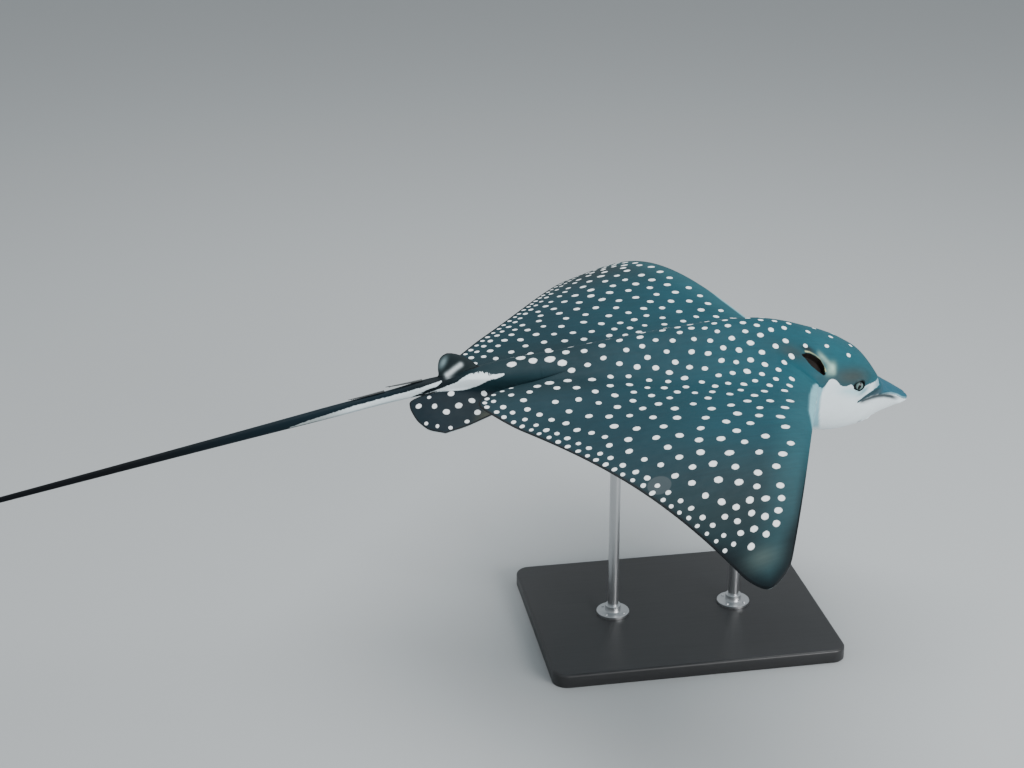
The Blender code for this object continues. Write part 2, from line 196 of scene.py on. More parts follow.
stand_base = mesh_piece("display_base", loft_mesh(base_rings), base_paint)
stand_base.data.set_sharp_from_angle(angle=math.radians(50))
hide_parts("stand_base")
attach(stand_base, "root")


# ---- Rods and flanges ---------------------------------------------------------------------------------
# Two brushed steel rods stand on the base. Each is held by a turned flange with screws round it and ends in
# a socket in the ray's belly, where a thin steel collar hides the joint.
brushed, tree, shader = shader_of("rod_brushed_steel")
place = add_node(tree, "ShaderNodeTexCoord").outputs["Object"]
lines = add_node(tree, "ShaderNodeMapping", Vector=place, Scale=(900.0, 900.0, 6.0)).outputs[0]
scratch = add_node(tree, "ShaderNodeTexNoise", Vector=lines, Scale=1.0, Detail=4.0)
cloud = add_node(tree, "ShaderNodeTexNoise", Vector=place, Scale=14.0, Detail=3.0)
tone = mix_colour(tree, cloud.outputs["Fac"], (0.50, 0.51, 0.52), (0.60, 0.61, 0.62))
tree.links.new(tone, shader.inputs["Base Color"])
rough = add_node(tree, "ShaderNodeMapRange", Value=scratch.outputs["Fac"], To_Min=0.24, To_Max=0.42)
tree.links.new(rough.outputs[0], shader.inputs["Roughness"])
bump = add_node(tree, "ShaderNodeBump", Strength=0.08, Distance=0.0002, Height=scratch.outputs["Fac"])
tree.links.new(bump.outputs[0], shader.inputs["Normal"])
set_values(shader, Metallic=1.0)

ROUND_STEPS = 48
FLANGE_RADIUS = 0.034
FLANGE_HEIGHT = 0.006
HUB_RADIUS = 0.0165
HUB_HEIGHT = 0.020
SCREW_RING = 0.0255
SCREW_COUNT = 4
SCREW_RADIUS = 0.0038
SCREW_HEIGHT = 0.0021


def turned(centre, steps):
    """A turned body: rings of (radius, height) round an upright axis."""
    angles = np.arange(ROUND_STEPS) * 2 * math.pi / ROUND_STEPS
    rings = []
    for radius, height in steps:
        x = centre[0] + radius * np.cos(angles)
        y = centre[1] + radius * np.sin(angles)
        rings.append(np.stack([x, y, np.full(ROUND_STEPS, height)], 1))
    return loft_mesh(rings)


def screw_ring_tree(finish):
    """Button-head screws spaced evenly round a ring."""
    tree = bpy.data.node_groups.new("screw_ring", "GeometryNodeTree")
    face = tree.interface
    face.new_socket("Geometry", in_out="INPUT", socket_type="NodeSocketGeometry")
    face.new_socket("Count", in_out="INPUT", socket_type="NodeSocketInt")
    for label in ("Ring radius", "Head radius", "Height"):
        face.new_socket(label, in_out="INPUT", socket_type="NodeSocketFloat")
    face.new_socket("Geometry", in_out="OUTPUT", socket_type="NodeSocketGeometry")
    given = tree.nodes.new("NodeGroupInput")
    ring = tree.nodes.new("GeometryNodeMeshCircle")
    head = tree.nodes.new("GeometryNodeMeshUVSphere")
    head.inputs["Segments"].default_value = 20
    head.inputs["Rings"].default_value = 10
    head.inputs["Radius"].default_value = 1.0
    shape = tree.nodes.new("ShaderNodeCombineXYZ")
    spread = tree.nodes.new("GeometryNodeInstanceOnPoints")
    real = tree.nodes.new("GeometryNodeRealizeInstances")
    coat = tree.nodes.new("GeometryNodeSetMaterial")
    coat.inputs["Material"].default_value = finish
    out = tree.nodes.new("NodeGroupOutput")
    link = tree.links.new
    link(given.outputs["Count"], ring.inputs["Vertices"])
    link(given.outputs["Ring radius"], ring.inputs["Radius"])
    link(given.outputs["Head radius"], shape.inputs["X"])
    link(given.outputs["Head radius"], shape.inputs["Y"])
    link(given.outputs["Height"], shape.inputs["Z"])
    link(ring.outputs["Mesh"], spread.inputs["Points"])
    link(head.outputs["Mesh"], spread.inputs["Instance"])
    link(shape.outputs[0], spread.inputs["Scale"])
    link(spread.outputs[0], real.inputs[0])
    link(real.outputs[0], coat.inputs["Geometry"])
    link(coat.outputs[0], out.inputs[0])
    return tree


def grown(name, tree, values, shift=(0, 0, 0), turn=Matrix.Identity(4)):
    """The plain mesh that a geometry tree makes from its named inputs, moved to its place."""
    holder = bpy.data.objects.new(name, bpy.data.meshes.new(name))
    bpy.context.scene.collection.objects.link(holder)
    maker = holder.modifiers.new("grow", "NODES")
    maker.node_group = tree
    for item in tree.interface.items_tree:
        if item.in_out == "INPUT" and item.name in values:
            maker[item.identifier] = values[item.name]
    ready = holder.evaluated_get(bpy.context.evaluated_depsgraph_get())
    mesh = bpy.data.meshes.new_from_object(ready)
    bpy.data.objects.remove(holder)
    mesh.transform(Matrix.Translation(shift) @ turn)
    return mesh


screw_tree = screw_ring_tree(brushed)
for where in ("front", "rear"):
    node = "stand_rod_" + where
    low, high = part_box(node)
    centre = ((low[0] + high[0]) / 2, (low[1] + high[1]) / 2)
    radius = (high[0] - low[0]) / 2
    foot = base_high[2]
    rod = mesh_piece("rod_" + where, turned(centre, ((radius, low[2]), (radius, high[2]))), brushed)
    rod.data.set_sharp_from_angle(angle=math.radians(50))
    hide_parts(node)
    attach(rod, "root")
    profile_steps = (
        (FLANGE_RADIUS, foot + 0.0002),
        (FLANGE_RADIUS, foot + FLANGE_HEIGHT - 0.001),
        (FLANGE_RADIUS - 0.001, foot + FLANGE_HEIGHT),
        (HUB_RADIUS + 0.002, foot + FLANGE_HEIGHT),
        (HUB_RADIUS + 0.0005, foot + FLANGE_HEIGHT + 0.0006),
        (HUB_RADIUS, foot + FLANGE_HEIGHT + 0.002),
        (HUB_RADIUS, foot + HUB_HEIGHT - 0.0012),
        (HUB_RADIUS - 0.0012, foot + HUB_HEIGHT),
        (radius + 0.0002, foot + HUB_HEIGHT),
    )
    flange = mesh_piece("flange_" + where, turned(centre, profile_steps), brushed)
    flange.data.set_sharp_from_angle(angle=math.radians(40))
    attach(flange, "root")
    sizes = {
        "Count": SCREW_COUNT,
        "Ring radius": SCREW_RING,
        "Head radius": SCREW_RADIUS,
        "Height": SCREW_HEIGHT,
    }
    top = foot + FLANGE_HEIGHT
    heads = grown("screws", screw_tree, sizes, (*centre, top), Matrix.Rotation(math.radians(45), 4, "Z"))
    screws = mesh_piece("flange_screws_" + where, heads, brushed)
    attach(screws, "root")


# ---- The ray's form -----------------------------------------------------------------------------------
# The animal is one body without a seam. It is shaped laid flat, in its own lengths: u runs back from the tip
# of the bill, y to its left and z up from the plane of the wings. The pose comes last.
HALF_SPAN = 0.725
ROOT_FRONT = (0.222, 0.100)
ROOT_REAR = (0.765, 0.060)
TIP_POINT = (0.495, 0.760)
FRONT_SLANT = 0.3945
REAR_LOBE_U = 0.906
REAR_LOBE_Y = 0.145
REAR_LOBE_ROUNDING = 0.035
REAR_HOLLOW = 0.035
REAR_SWAY = 0.004
ROOT_HALF_THICK = 0.036
TIP_HALF_THICK = 0.003
EDGE_HALF_THICK = 0.0009
SHOULDER_CHORD = 0.11
CLOSING_CHORDS = (0.882, 1.045)
SIDE_LEVEL_U = 0.33
TIP_ROUNDING = 0.035
REAR_LIFT = {-1: 0.020, 1: -0.010}
DROOPS_SHAPE = {-1: (-0.850, 1.612, 0.137), 1: (-0.850, 1.282, 0.137)}
DROOP_SPAN = 0.75
WING_TWIST = 0.376
TWIST_POWER = 1.76
TWIST_CENTRE = 0.45
TAIL_PITCH = math.radians(13.9)
TAIL_END_PITCH = math.radians(9.0)
TAIL_BEND = (0.92, 1.02)
TAIL_EASE = (1.75, 2.85)
TAIL_END = 2.85
NOSE_DOWN = math.radians(2.0)
BALANCE_U = 0.47
BODY_HEIGHT = 0.55


def profile(*knots):
    """A smooth curve through a few (place, value) pairs."""
    places, values = np.array(knots).T
    slopes = np.gradient(values, places)

    def value(u):
        u = np.clip(u, places[0], places[-1])
        i = np.clip(np.searchsorted(places, u) - 1, 0, len(places) - 2)
        step = places[i + 1] - places[i]
        t = (u - places[i]) / step
        start = (1 + 2 * t) * (1 - t) ** 2 * values[i] + t * (1 - t) ** 2 * step * slopes[i]
        end = t * t * (3 - 2 * t) * values[i + 1] + t * t * (t - 1) * step * slopes[i + 1]
        return start + end

    return value


def ease(value, start, end):
    t = np.clip((value - start) / (end - start), 0, 1)
    return t * t * (3 - 2 * t)


def soft_max(a, b, width):
    h = np.clip(0.5 + 0.5 * (a - b) / width, 0, 1)
    return b + (a - b) * h + width * h * (1 - h)


head_width = profile((-0.004, 0.006), (0.0, 0.014), (0.012, 0.028), (0.04, 0.047), (0.07, 0.061),
                     (0.10, 0.075), (0.14, 0.088), (0.18, 0.095), (0.222, 0.100))
rear_width = profile((0.765, 0.060), (0.80, 0.055), (0.85, 0.046), (0.90, 0.034), (0.95, 0.022),
                     (1.0, 0.0155), (1.2, 0.0120), (1.4, 0.0095), (1.7, 0.0068), (2.2, 0.0036),
                     (2.85, 0.0015))
body_top = profile((-0.004, -0.058), (0.0, -0.055), (0.02, -0.043), (0.04, -0.032), (0.056, -0.024),
                   (0.066, -0.014), (0.078, 0.006), (0.10, 0.035), (0.14, 0.063), (0.18, 0.081),
                   (0.22, 0.093), (0.26, 0.105), (0.30, 0.112), (0.38, 0.113), (0.46, 0.103),
                   (0.60, 0.083), (0.75, 0.058), (0.83, 0.045), (0.895, 0.031), (0.95, 0.018),
                   (1.0, 0.0145), (1.2, 0.0115), (1.4, 0.0092), (1.7, 0.0066), (2.2, 0.0035),
                   (2.85, 0.0014))
body_bottom = profile((-0.004, -0.062), (0.0, -0.065), (0.02, -0.070), (0.04, -0.076), (0.075, -0.090),
                      (0.10, -0.102), (0.126, -0.112), (0.16, -0.118), (0.20, -0.118), (0.30, -0.108),
                      (0.42, -0.091), (0.60, -0.069), (0.75, -0.047), (0.85, -0.033), (0.93, -0.022),
                      (1.0, -0.0145), (1.2, -0.0115), (1.4, -0.0092), (1.7, -0.0066), (2.2, -0.0035),
                      (2.85, -0.0014))
head_side = profile((-0.004, -0.0600), (0.0, -0.0595), (0.03, -0.049), (0.06, -0.034), (0.09, -0.016),
                    (0.14, -0.003), (0.18, -0.001), (0.222, 0.0))
back_bulge = profile((0.222, 0.112), (0.30, 0.135), (0.42, 0.135), (0.60, 0.103), (0.75, 0.064),
                     (0.85, 0.050))


def root_line(u):
    t = (u - ROOT_FRONT[0]) / (ROOT_REAR[0] - ROOT_FRONT[0])
    return ROOT_FRONT[1] + (ROOT_REAR[1] - ROOT_FRONT[1]) * t


def body_half_width(u):
    middle = np.where(u > ROOT_REAR[0], rear_width(u), root_line(u))
    return np.where(u < ROOT_FRONT[0], head_width(u), middle)


def rear_lift(u, y, side):
    along = ease(u, 0.50, 0.78) * (1 - ease(u, 0.90, 0.95))
    inside = np.minimum(y / root_line(np.minimum(u, ROOT_REAR[0])), 1) ** 2
    return REAR_LIFT[side] * along * inside * (1 - ease(y, 0.09, 0.24))


def wing_half_thick(chord, span):
    section = 2.6 * np.sqrt(chord) * (1 - chord)
    return (ROOT_HALF_THICK * (1 - span) ** 1.3 + TIP_HALF_THICK) * section + EDGE_HALF_THICK


def root_chord(u):
    return np.clip((u - ROOT_FRONT[0]) / (ROOT_REAR[0] - ROOT_FRONT[0]), 0, 1)


def surface(u, y, chord, span, up, side, level=1.0):
    """Height of the upper (up = 1) or lower (up = -1) surface of the trunk and wings."""
    centre = body_top(u) if up > 0 else -body_bottom(u)
    sharpness = 2.0 if up > 0 else 2.6
    bulge = level * centre * np.exp(-((y / back_bulge(u)) ** sharpness))
    wing = wing_half_thick(chord, span)
    return rear_lift(u, y, side) + up * soft_max(bulge, wing, 0.4 * (bulge + wing))


def opening(chord):
    """How far the trunk has opened into the wings at a fraction of the root: 0 is closed, 1 is open."""
    return ease(chord, 0.0, SHOULDER_CHORD) * (1 - ease(chord, *CLOSING_CHORDS))


def blend(u):
    return opening((u - ROOT_FRONT[0]) / (ROOT_REAR[0] - ROOT_FRONT[0]))


def side_edge(u, up, side):
    if u < ROOT_FRONT[0]:
        return head_side(u) + up * EDGE_HALF_THICK
    if u > ROOT_REAR[0]:
        return rear_lift(u, ROOT_REAR[1], side) + up * EDGE_HALF_THICK
    return surface(u, root_line(u), root_chord(u), 0.0, up, side, blend(u))


def half_section(u, steps, up, side):
    """The upper or lower surface on one side of the body at u, from the side to the centre line."""
    width = body_half_width(u)
    centre = body_top(u) if up > 0 else body_bottom(u)
    edge = side_edge(u, up, side)
    roundness = 2.0 if up > 0 else 2.3
    angle = np.linspace(0, math.pi / 2, steps + 1)
    oval_y = width * np.cos(angle) ** (2 / roundness)
    side_z = head_side(u) if u < ROOT_FRONT[0] else edge * ease(u, ROOT_FRONT[0], SIDE_LEVEL_U)
    oval_z = side_z + (centre - side_z) * np.sin(angle) ** (2 / roundness)
    oval_z = oval_z + (edge - side_z) * np.cos(angle) ** 10
    open_y = width * np.cos(angle)
    open_z = surface(u, open_y, root_chord(u), 0.0, up, side)
    open_z = open_z + (edge - open_z[0]) * np.cos(angle) ** 4
    y = oval_y + (open_y - oval_y) * blend(u)
    z = oval_z + (open_z - oval_z) * blend(u)
    return np.stack([np.full_like(y, u), side * y, z], 1)


def front_edge(y):
    return ROOT_FRONT[0] + FRONT_SLANT * (y - ROOT_FRONT[1])


def rear_edge(y):
    """The rear edge is a shallow hollow curve, then turns forward round the rear lobe to the trunk."""
    t = (TIP_POINT[1] - y) / (TIP_POINT[1] - REAR_LOBE_Y)
    sweep = t - REAR_HOLLOW * np.sin(math.pi * t) + REAR_SWAY * np.sin(2 * math.pi * t)
    outer = TIP_POINT[0] + (REAR_LOBE_U - TIP_POINT[0]) * sweep
    t = np.clip((y - ROOT_REAR[1]) / (REAR_LOBE_Y - ROOT_REAR[1]), 0, 3)
    inner = ROOT_REAR[0] + (REAR_LOBE_U + 0.01 - ROOT_REAR[0]) * t**0.55
    return -soft_max(-inner, -outer, REAR_LOBE_ROUNDING)


def wing_section(span, chords, side):
    """The upper and lower rows of one wing on the line across it at a fraction of the span."""
    front_y = ROOT_FRONT[1] + (HALF_SPAN - ROOT_FRONT[1]) * span
    rear_y = ROOT_REAR[1] + (HALF_SPAN - ROOT_REAR[1]) * span
    front = front_edge(front_y)
    rear = rear_edge(rear_y)
    outside = np.clip((front_y - (HALF_SPAN - TIP_ROUNDING)) / TIP_ROUNDING, 0, 1)
    narrowing = 1 - math.sqrt(1 - outside**2)
    reach = 0.6 * narrowing + (1 - narrowing) * chords
    u = front + (rear - front) * reach
    y = front_y + (rear_y - front_y) * reach
    level = opening(chords)
    upper = surface(u, y, chords, span, 1, side, level)
    lower = surface(u, y, chords, span, -1, side, level)
    return np.stack([u, side * y, upper], 1), np.stack([u, side * y, lower], 1)


def droop_curve(droop):
    """Places along the span, the slope there, and where they come to once the wing has drooped."""
    span = np.linspace(0, 1.02, 301)
    slope = droop[0] * span + droop[1] * span**2 + droop[2] * span**3
    step = DROOP_SPAN * (span[1] - span[0])
    out = np.concatenate([[0], np.cumsum(np.cos(slope[1:] - np.diff(slope) / 2)) * step])
    down = np.concatenate([[0], np.cumsum(np.sin(slope[1:] - np.diff(slope) / 2)) * step])
    return span * DROOP_SPAN, slope, out, -down


def tail_curve():
    """Distance back, pitch, and the place of the body's long axis, which bends down into the tail."""
    u = np.linspace(-0.1, TAIL_END + 0.05, 1200)
    pitch = TAIL_PITCH * ease(u, *TAIL_BEND) - (TAIL_PITCH - TAIL_END_PITCH) * ease(u, *TAIL_EASE)
    step = u[1] - u[0]
    back = u[0] + np.concatenate([[0], np.cumsum(np.cos(pitch[1:])) * step])
    down = np.concatenate([[0], np.cumsum(np.sin(pitch[1:])) * step])
    return u, pitch, back, -down


DROOPS = {side: droop_curve(shape) for side, shape in DROOPS_SHAPE.items()}
TAIL_AXIS = tail_curve()


def pose(flat):
    """World places of points laid out flat, given as rows of (u, y, z)."""
    u, y, z = np.asarray(flat, float).T
    out = np.empty_like(y)
    high = np.empty_like(z)
    for side, (span, slope, reach, level) in DROOPS.items():
        here = (y < 0) if side < 0 else (y >= 0)
        away = np.abs(y[here])
        tilt = np.interp(away, span, slope)
        out[here] = side * (np.interp(away, span, reach) + z[here] * np.sin(tilt))
        high[here] = np.interp(away, span, level) + z[here] * np.cos(tilt)
    high -= WING_TWIST * (u - TWIST_CENTRE) * (np.abs(y) / DROOP_SPAN) ** TWIST_POWER
    axis_u, pitch, back, down = TAIL_AXIS
    tilt = np.interp(u, axis_u, pitch)
    along = BALANCE_U - np.interp(u, axis_u, back) - high * np.sin(tilt)
    above = np.interp(u, axis_u, down) + high * np.cos(tilt)
    x = along * math.cos(NOSE_DOWN) + above * math.sin(NOSE_DOWN)
    height = BODY_HEIGHT - along * math.sin(NOSE_DOWN) + above * math.cos(NOSE_DOWN)
    return np.stack([x, out, height], 1)


# ---- Body and wings in one net of faces ---------------------------------------------------------------
# Rings run down the head, trunk and tail. Between the wing roots the rings are open at the sides, and each
# wing's net starts from the same points, so that skin runs from the back out to the wing tip unbroken.
TOP_STEPS = 32
LOW_STEPS = 22
CHORD_STEPS = 84
HEAD_ROWS = 74
REAR_ROWS = 70
TAIL_AROUND = 28
TAIL_ROWS = 110

chords = (1 - np.cos(np.linspace(0, math.pi, CHORD_STEPS))) / 2
inner_spans = 0.13 * (np.arange(1, 25) / 24) ** 1.8
outer_spans = np.linspace(0.13, 0.955, 66)[1:]
tip_spans = np.array([0.965, 0.975, 0.984, 0.991, 0.996, 0.999])
spans = np.concatenate([inner_spans, outer_spans, tip_spans])
head_rows = np.linspace(-0.004, ROOT_FRONT[0], HEAD_ROWS + 1)[:-1]
wing_rows = ROOT_FRONT[0] + (ROOT_REAR[0] - ROOT_FRONT[0]) * chords
rear_rows = np.linspace(ROOT_REAR[0], 0.985, REAR_ROWS + 1)[1:]
wing_first = len(head_rows)
wing_last = wing_first + len(wing_rows) - 1
RIGHT_TOP = 2 * TOP_STEPS
RIGHT_LOW = RIGHT_TOP + 1
LEFT_LOW = RIGHT_LOW + 2 * LOW_STEPS
LEFT_TOP = 0


def body_ring(u):
    """A closed ring round the body, over the top from left to right and back underneath."""
    top_left = half_section(u, TOP_STEPS, 1, 1)
    top_right = half_section(u, TOP_STEPS, 1, -1)[::-1]
    low_right = half_section(u, LOW_STEPS, -1, -1)
    low_left = half_section(u, LOW_STEPS, -1, 1)[::-1]
    return np.concatenate([top_left, top_right[1:], low_right, low_left[1:]])


work = bmesh.new()
body = [[work.verts.new(p) for p in body_ring(u)] for u in (*head_rows, *wing_rows, *rear_rows)]
around = len(body[0])
for row in range(len(body) - 1):
    beside_wing = wing_first <= row < wing_last
    for k in range(around):
        if beside_wing and k in (RIGHT_TOP, LEFT_LOW):
            continue
        n = (k + 1) % around
        work.faces.new((body[row][k], body[row][n], body[row + 1][n], body[row + 1][k]))
snout = work.verts.new(np.mean([v.co for v in body[0]], axis=0))
for k in range(around):
    work.faces.new((body[0][(k + 1) % around], body[0][k], snout))

for side, top_k, low_k in ((1, LEFT_TOP, LEFT_LOW), (-1, RIGHT_TOP, RIGHT_LOW)):
    root_over = [body[wing_first + i][top_k] for i in range(CHORD_STEPS)]
    root_under = [body[wing_first + i][low_k] for i in range(CHORD_STEPS)]
    before = [*root_over, root_under[-1], *root_under[::-1], root_over[0]]
    for span in spans:
        over, under = wing_section(span, chords, side)
        behind = (over[-1] + under[-1]) / 2 + np.array([EDGE_HALF_THICK, 0, 0])
        ahead = (over[0] + under[0]) / 2 - np.array([EDGE_HALF_THICK, 0, 0])
        ring = [work.verts.new(p) for p in (*over, behind, *under[::-1], ahead)]
        for i in range(len(ring)):
            j = (i + 1) % len(ring)
            corners = dict.fromkeys((before[i], before[j], ring[j], ring[i]))
            work.faces.new(tuple(corners))
        before = ring
    for i in range(CHORD_STEPS - 1):
        mirror = 2 * CHORD_STEPS - i
        work.faces.new((before[i], before[i + 1], before[mirror - 1], before[mirror]))
    work.faces.new((before[CHORD_STEPS - 1], before[CHORD_STEPS], before[CHORD_STEPS + 1]))
    work.faces.new((before[0], before[2 * CHORD_STEPS], before[2 * CHORD_STEPS + 1]))

tail_angles = np.arange(TAIL_AROUND) * 2 * math.pi / TAIL_AROUND
tail_rows = np.linspace(0, 1, TAIL_ROWS) ** 1.3 * (TAIL_END - 0.001 - 1.0) + 1.0
tail = []
for u in tail_rows:
    ring = np.stack([np.full(TAIL_AROUND, u), rear_width(u) * np.cos(tail_angles),
                     body_top(u) * np.sin(tail_angles)], 1)
    tail.append([work.verts.new(p) for p in ring])
for near, far in zip(tail, tail[1:]):
    for k in range(TAIL_AROUND):
        n = (k + 1) % TAIL_AROUND
        work.faces.new((near[k], near[n], far[n], far[k]))
work.faces.new(tail[-1])
work.edges.ensure_lookup_table()
joined = []
for ring in (body[-1], tail[0]):
    for k, vertex in enumerate(ring):
        other = ring[(k + 1) % len(ring)]
        joined.append(work.edges.get((vertex, other)))
bmesh.ops.bridge_loops(work, edges=joined)
bmesh.ops.recalc_face_normals(work, faces=work.faces)
body_mesh = bpy.data.meshes.new("body_flat")
work.to_mesh(body_mesh)
work.free()


# ---- Pelvic fins and dorsal fin -----------------------------------------------------------------------
# Two small rounded fins slope down from the sides of the trunk behind the wings, and one stands on the root
# of the tail. Each has its root inside the body and is joined to it, and the joint is smoothed to a fillet.
PELVIC_ROOT = (0.80, 0.955)
PELVIC_LEVEL = -0.006
PELVIC_SLOPE = 0.45
PELVIC_HALF_THICK = 0.006
DORSAL_ROOT = (0.879, 0.958)
DORSAL_HEIGHT = 0.045
DORSAL_HALF_THICK = 0.0045
DORSAL_FRONT_LEAN = 0.040
DORSAL_FRONT_CURVE = 0.022
DORSAL_REAR_CURVE = 0.016
FIN_CHORDS = 36

pelvic_front_u = profile((0.0, 0.80), (0.35, 0.846), (0.60, 0.886), (0.85, 0.930), (1.0, 0.962))
pelvic_front_y = profile((0.0, 0.052), (0.35, 0.083), (0.60, 0.098), (0.85, 0.1105), (1.0, 0.1145))
pelvic_rear_u = profile((0.0, 0.955), (0.12, 0.996), (0.22, 1.018), (0.35, 1.024), (0.50, 1.022),
                        (0.70, 1.013), (0.85, 0.998), (1.0, 0.966))
pelvic_rear_y = profile((0.0, 0.021), (0.12, 0.020), (0.22, 0.024), (0.35, 0.036), (0.50, 0.055),
                        (0.70, 0.080), (0.85, 0.099), (1.0, 0.1145))
fin_chords = (1 - np.cos(np.linspace(0, math.pi, FIN_CHORDS))) / 2
fin_bow = 4 * fin_chords * (1 - fin_chords)


def pelvic_rings(side):
    rings = []
    root_u = PELVIC_ROOT[0] + (PELVIC_ROOT[1] - PELVIC_ROOT[0]) * fin_chords
    for inset in (0.3, 0.6, 0.9):
        half = PELVIC_HALF_THICK * fin_bow + EDGE_HALF_THICK
        rings.append((root_u, rear_width(root_u) * inset, half))
    for span in np.concatenate([np.linspace(0.03, 0.92, 28), [0.95, 0.975, 0.99, 0.998]]):
        u = pelvic_front_u(span) + (pelvic_rear_u(span) - pelvic_front_u(span)) * fin_chords
        y = pelvic_front_y(span) + (pelvic_rear_y(span) - pelvic_front_y(span)) * fin_chords
        rings.append((u, y, PELVIC_HALF_THICK * (1 - span) * fin_bow + EDGE_HALF_THICK))
    closed = []
    for u, y, half in rings:
        level = PELVIC_LEVEL - PELVIC_SLOPE * (y - rear_width(u))
        over = np.stack([u, side * y, level + half], 1)
        under = np.stack([u, side * y, level - half], 1)
        closed.append(np.concatenate([over, under[::-1]]))
    return closed


def dorsal_rings():
    rings = []
    for rise in (-0.25, -0.1, *np.sin(np.linspace(0, 0.985, 20) * math.pi / 2)):
        bow = max(rise, 0.0)
        front = DORSAL_ROOT[0] + DORSAL_FRONT_LEAN * bow + DORSAL_FRONT_CURVE * (1 - math.sqrt(1 - bow**2))
        rear = DORSAL_ROOT[1] - DORSAL_REAR_CURVE * (1 - math.sqrt(1 - bow**4))
        u = front + (rear - front) * fin_chords
        half = DORSAL_HALF_THICK * (1 - 0.6 * bow) * fin_bow + EDGE_HALF_THICK
        z = body_top(u) + DORSAL_HEIGHT * rise
        left = np.stack([u, half, z], 1)
        right = np.stack([u, -half, z], 1)
        rings.append(np.concatenate([left, right[::-1]]))
    return rings


flat_body = bpy.data.objects.new("flat_body", body_mesh)
bpy.context.scene.collection.objects.link(flat_body)
helpers = []
for rings in (pelvic_rings(1), pelvic_rings(-1), dorsal_rings()):
    fin = bpy.data.objects.new("flat_fin", loft_mesh(rings))
    bpy.context.scene.collection.objects.link(fin)
    helpers.append(fin)
    union = flat_body.modifiers.new("join", "BOOLEAN")
    union.operation = "UNION"
    union.solver = "EXACT"
    union.object = fin
ready = flat_body.evaluated_get(bpy.context.evaluated_depsgraph_get())
flat_mesh = bpy.data.meshes.new_from_object(ready)
for helper in (*helpers, flat_body):
    bpy.data.objects.remove(helper)


# ---- Smoothing the fin joints and shoulders -----------------------------------------------------------
# The corner where each small fin meets the body is eased into a soft fillet, and the head is eased into the
# shoulders, as skin runs over flesh.
def neighbours(mesh):
    """Pairs of points joined by an edge, both ways round."""
    pairs = np.empty(len(mesh.edges) * 2, int)
    mesh.edges.foreach_get("vertices", pairs)
    pairs = pairs.reshape(-1, 2)
    return np.concatenate([pairs, pairs[:, ::-1]])


def read_points(mesh):
    points = np.empty(len(mesh.vertices) * 3)
    mesh.vertices.foreach_get("co", points)
    return points.reshape(-1, 3)


def read_normals(mesh):
    normals = np.empty(len(mesh.vertices) * 3)
    mesh.vertex_normals.foreach_get("vector", normals)
    return normals.reshape(-1, 3)


def write_points(mesh, points):
    mesh.vertices.foreach_set("co", np.asarray(points, float).ravel())
    mesh.update()


def relax(points, pairs, weight, rounds):
    """Moves points towards the mean of their neighbours, by weight."""
    here, there = pairs.T
    count = np.bincount(here, minlength=len(points))[:, None]
    for _ in range(rounds):
        total = np.stack([np.bincount(here, points[there, axis], len(points)) for axis in range(3)], 1)
        points = points + weight[:, None] * (total / count - points)
    return points


JOINT_REACH = 0.011
JOINT_ROUNDS = 24
SHOULDER_ROUNDS = 110
points = read_points(flat_mesh)
pairs = neighbours(flat_mesh)
u, y, z = points.T
work = bmesh.new()
work.from_mesh(flat_mesh)
corner = np.zeros(len(points), bool)
for edge in work.edges:
    if edge.calc_face_angle(0.0) > math.radians(28):
        for vertex in edge.verts:
            corner[vertex.index] = True
work.free()
level = PELVIC_LEVEL - PELVIC_SLOPE * (np.abs(y) - rear_width(u))
near_pelvic = (np.abs(np.abs(y) - rear_width(u)) < 0.008) & (u > 0.79) & (u < 0.975)
near_pelvic &= np.abs(z - level) < 0.012
near_dorsal = (np.abs(y) < 0.008) & (u > 0.87) & (u < 0.965) & (np.abs(z - body_top(u)) < 0.006)
seeds = points[corner & (near_pelvic | near_dorsal)]
seed_tree = KDTree(len(seeds))
for index, seed in enumerate(seeds):
    seed_tree.insert(seed, index)
seed_tree.balance()
fillet = np.zeros(len(points))
for index in np.flatnonzero((u > 0.76) & (u < 1.0) & (np.abs(y) < 0.09)):
    distance = seed_tree.find(points[index])[2]
    fillet[index] = 1 - ease(distance, 0.3 * JOINT_REACH, JOINT_REACH)
points = relax(points, pairs, 0.6 * fillet, JOINT_ROUNDS)
shoulder = ease(u, 0.19, 0.212) * (1 - ease(u, 0.27, 0.31)) * ease(z, 0.004, 0.030)
shoulder *= ease(np.abs(y), 0.030, 0.060) * (1 - ease(np.abs(y), 0.13, 0.17))
points = relax(points, pairs, 0.6 * shoulder, SHOULDER_ROUNDS)
write_points(flat_mesh, points)


# ---- Carving the head ---------------------------------------------------------------------------------
# The head's details are worked into the same skin: lids round the eyes, the spiracles behind them, the
# fold at the corner of the mouth, and the fleshy rim of the bill. The net is made finer there first.
EYE_RADIUS = 0.0145
EYE_CENTRE = np.array([0.1345, 0.078, -0.005])
LID_HALF_LENGTH = 0.0118
LID_HALF_HEIGHT = 0.0080
LID_TILT = math.radians(32)
LID_RISE = 0.0011

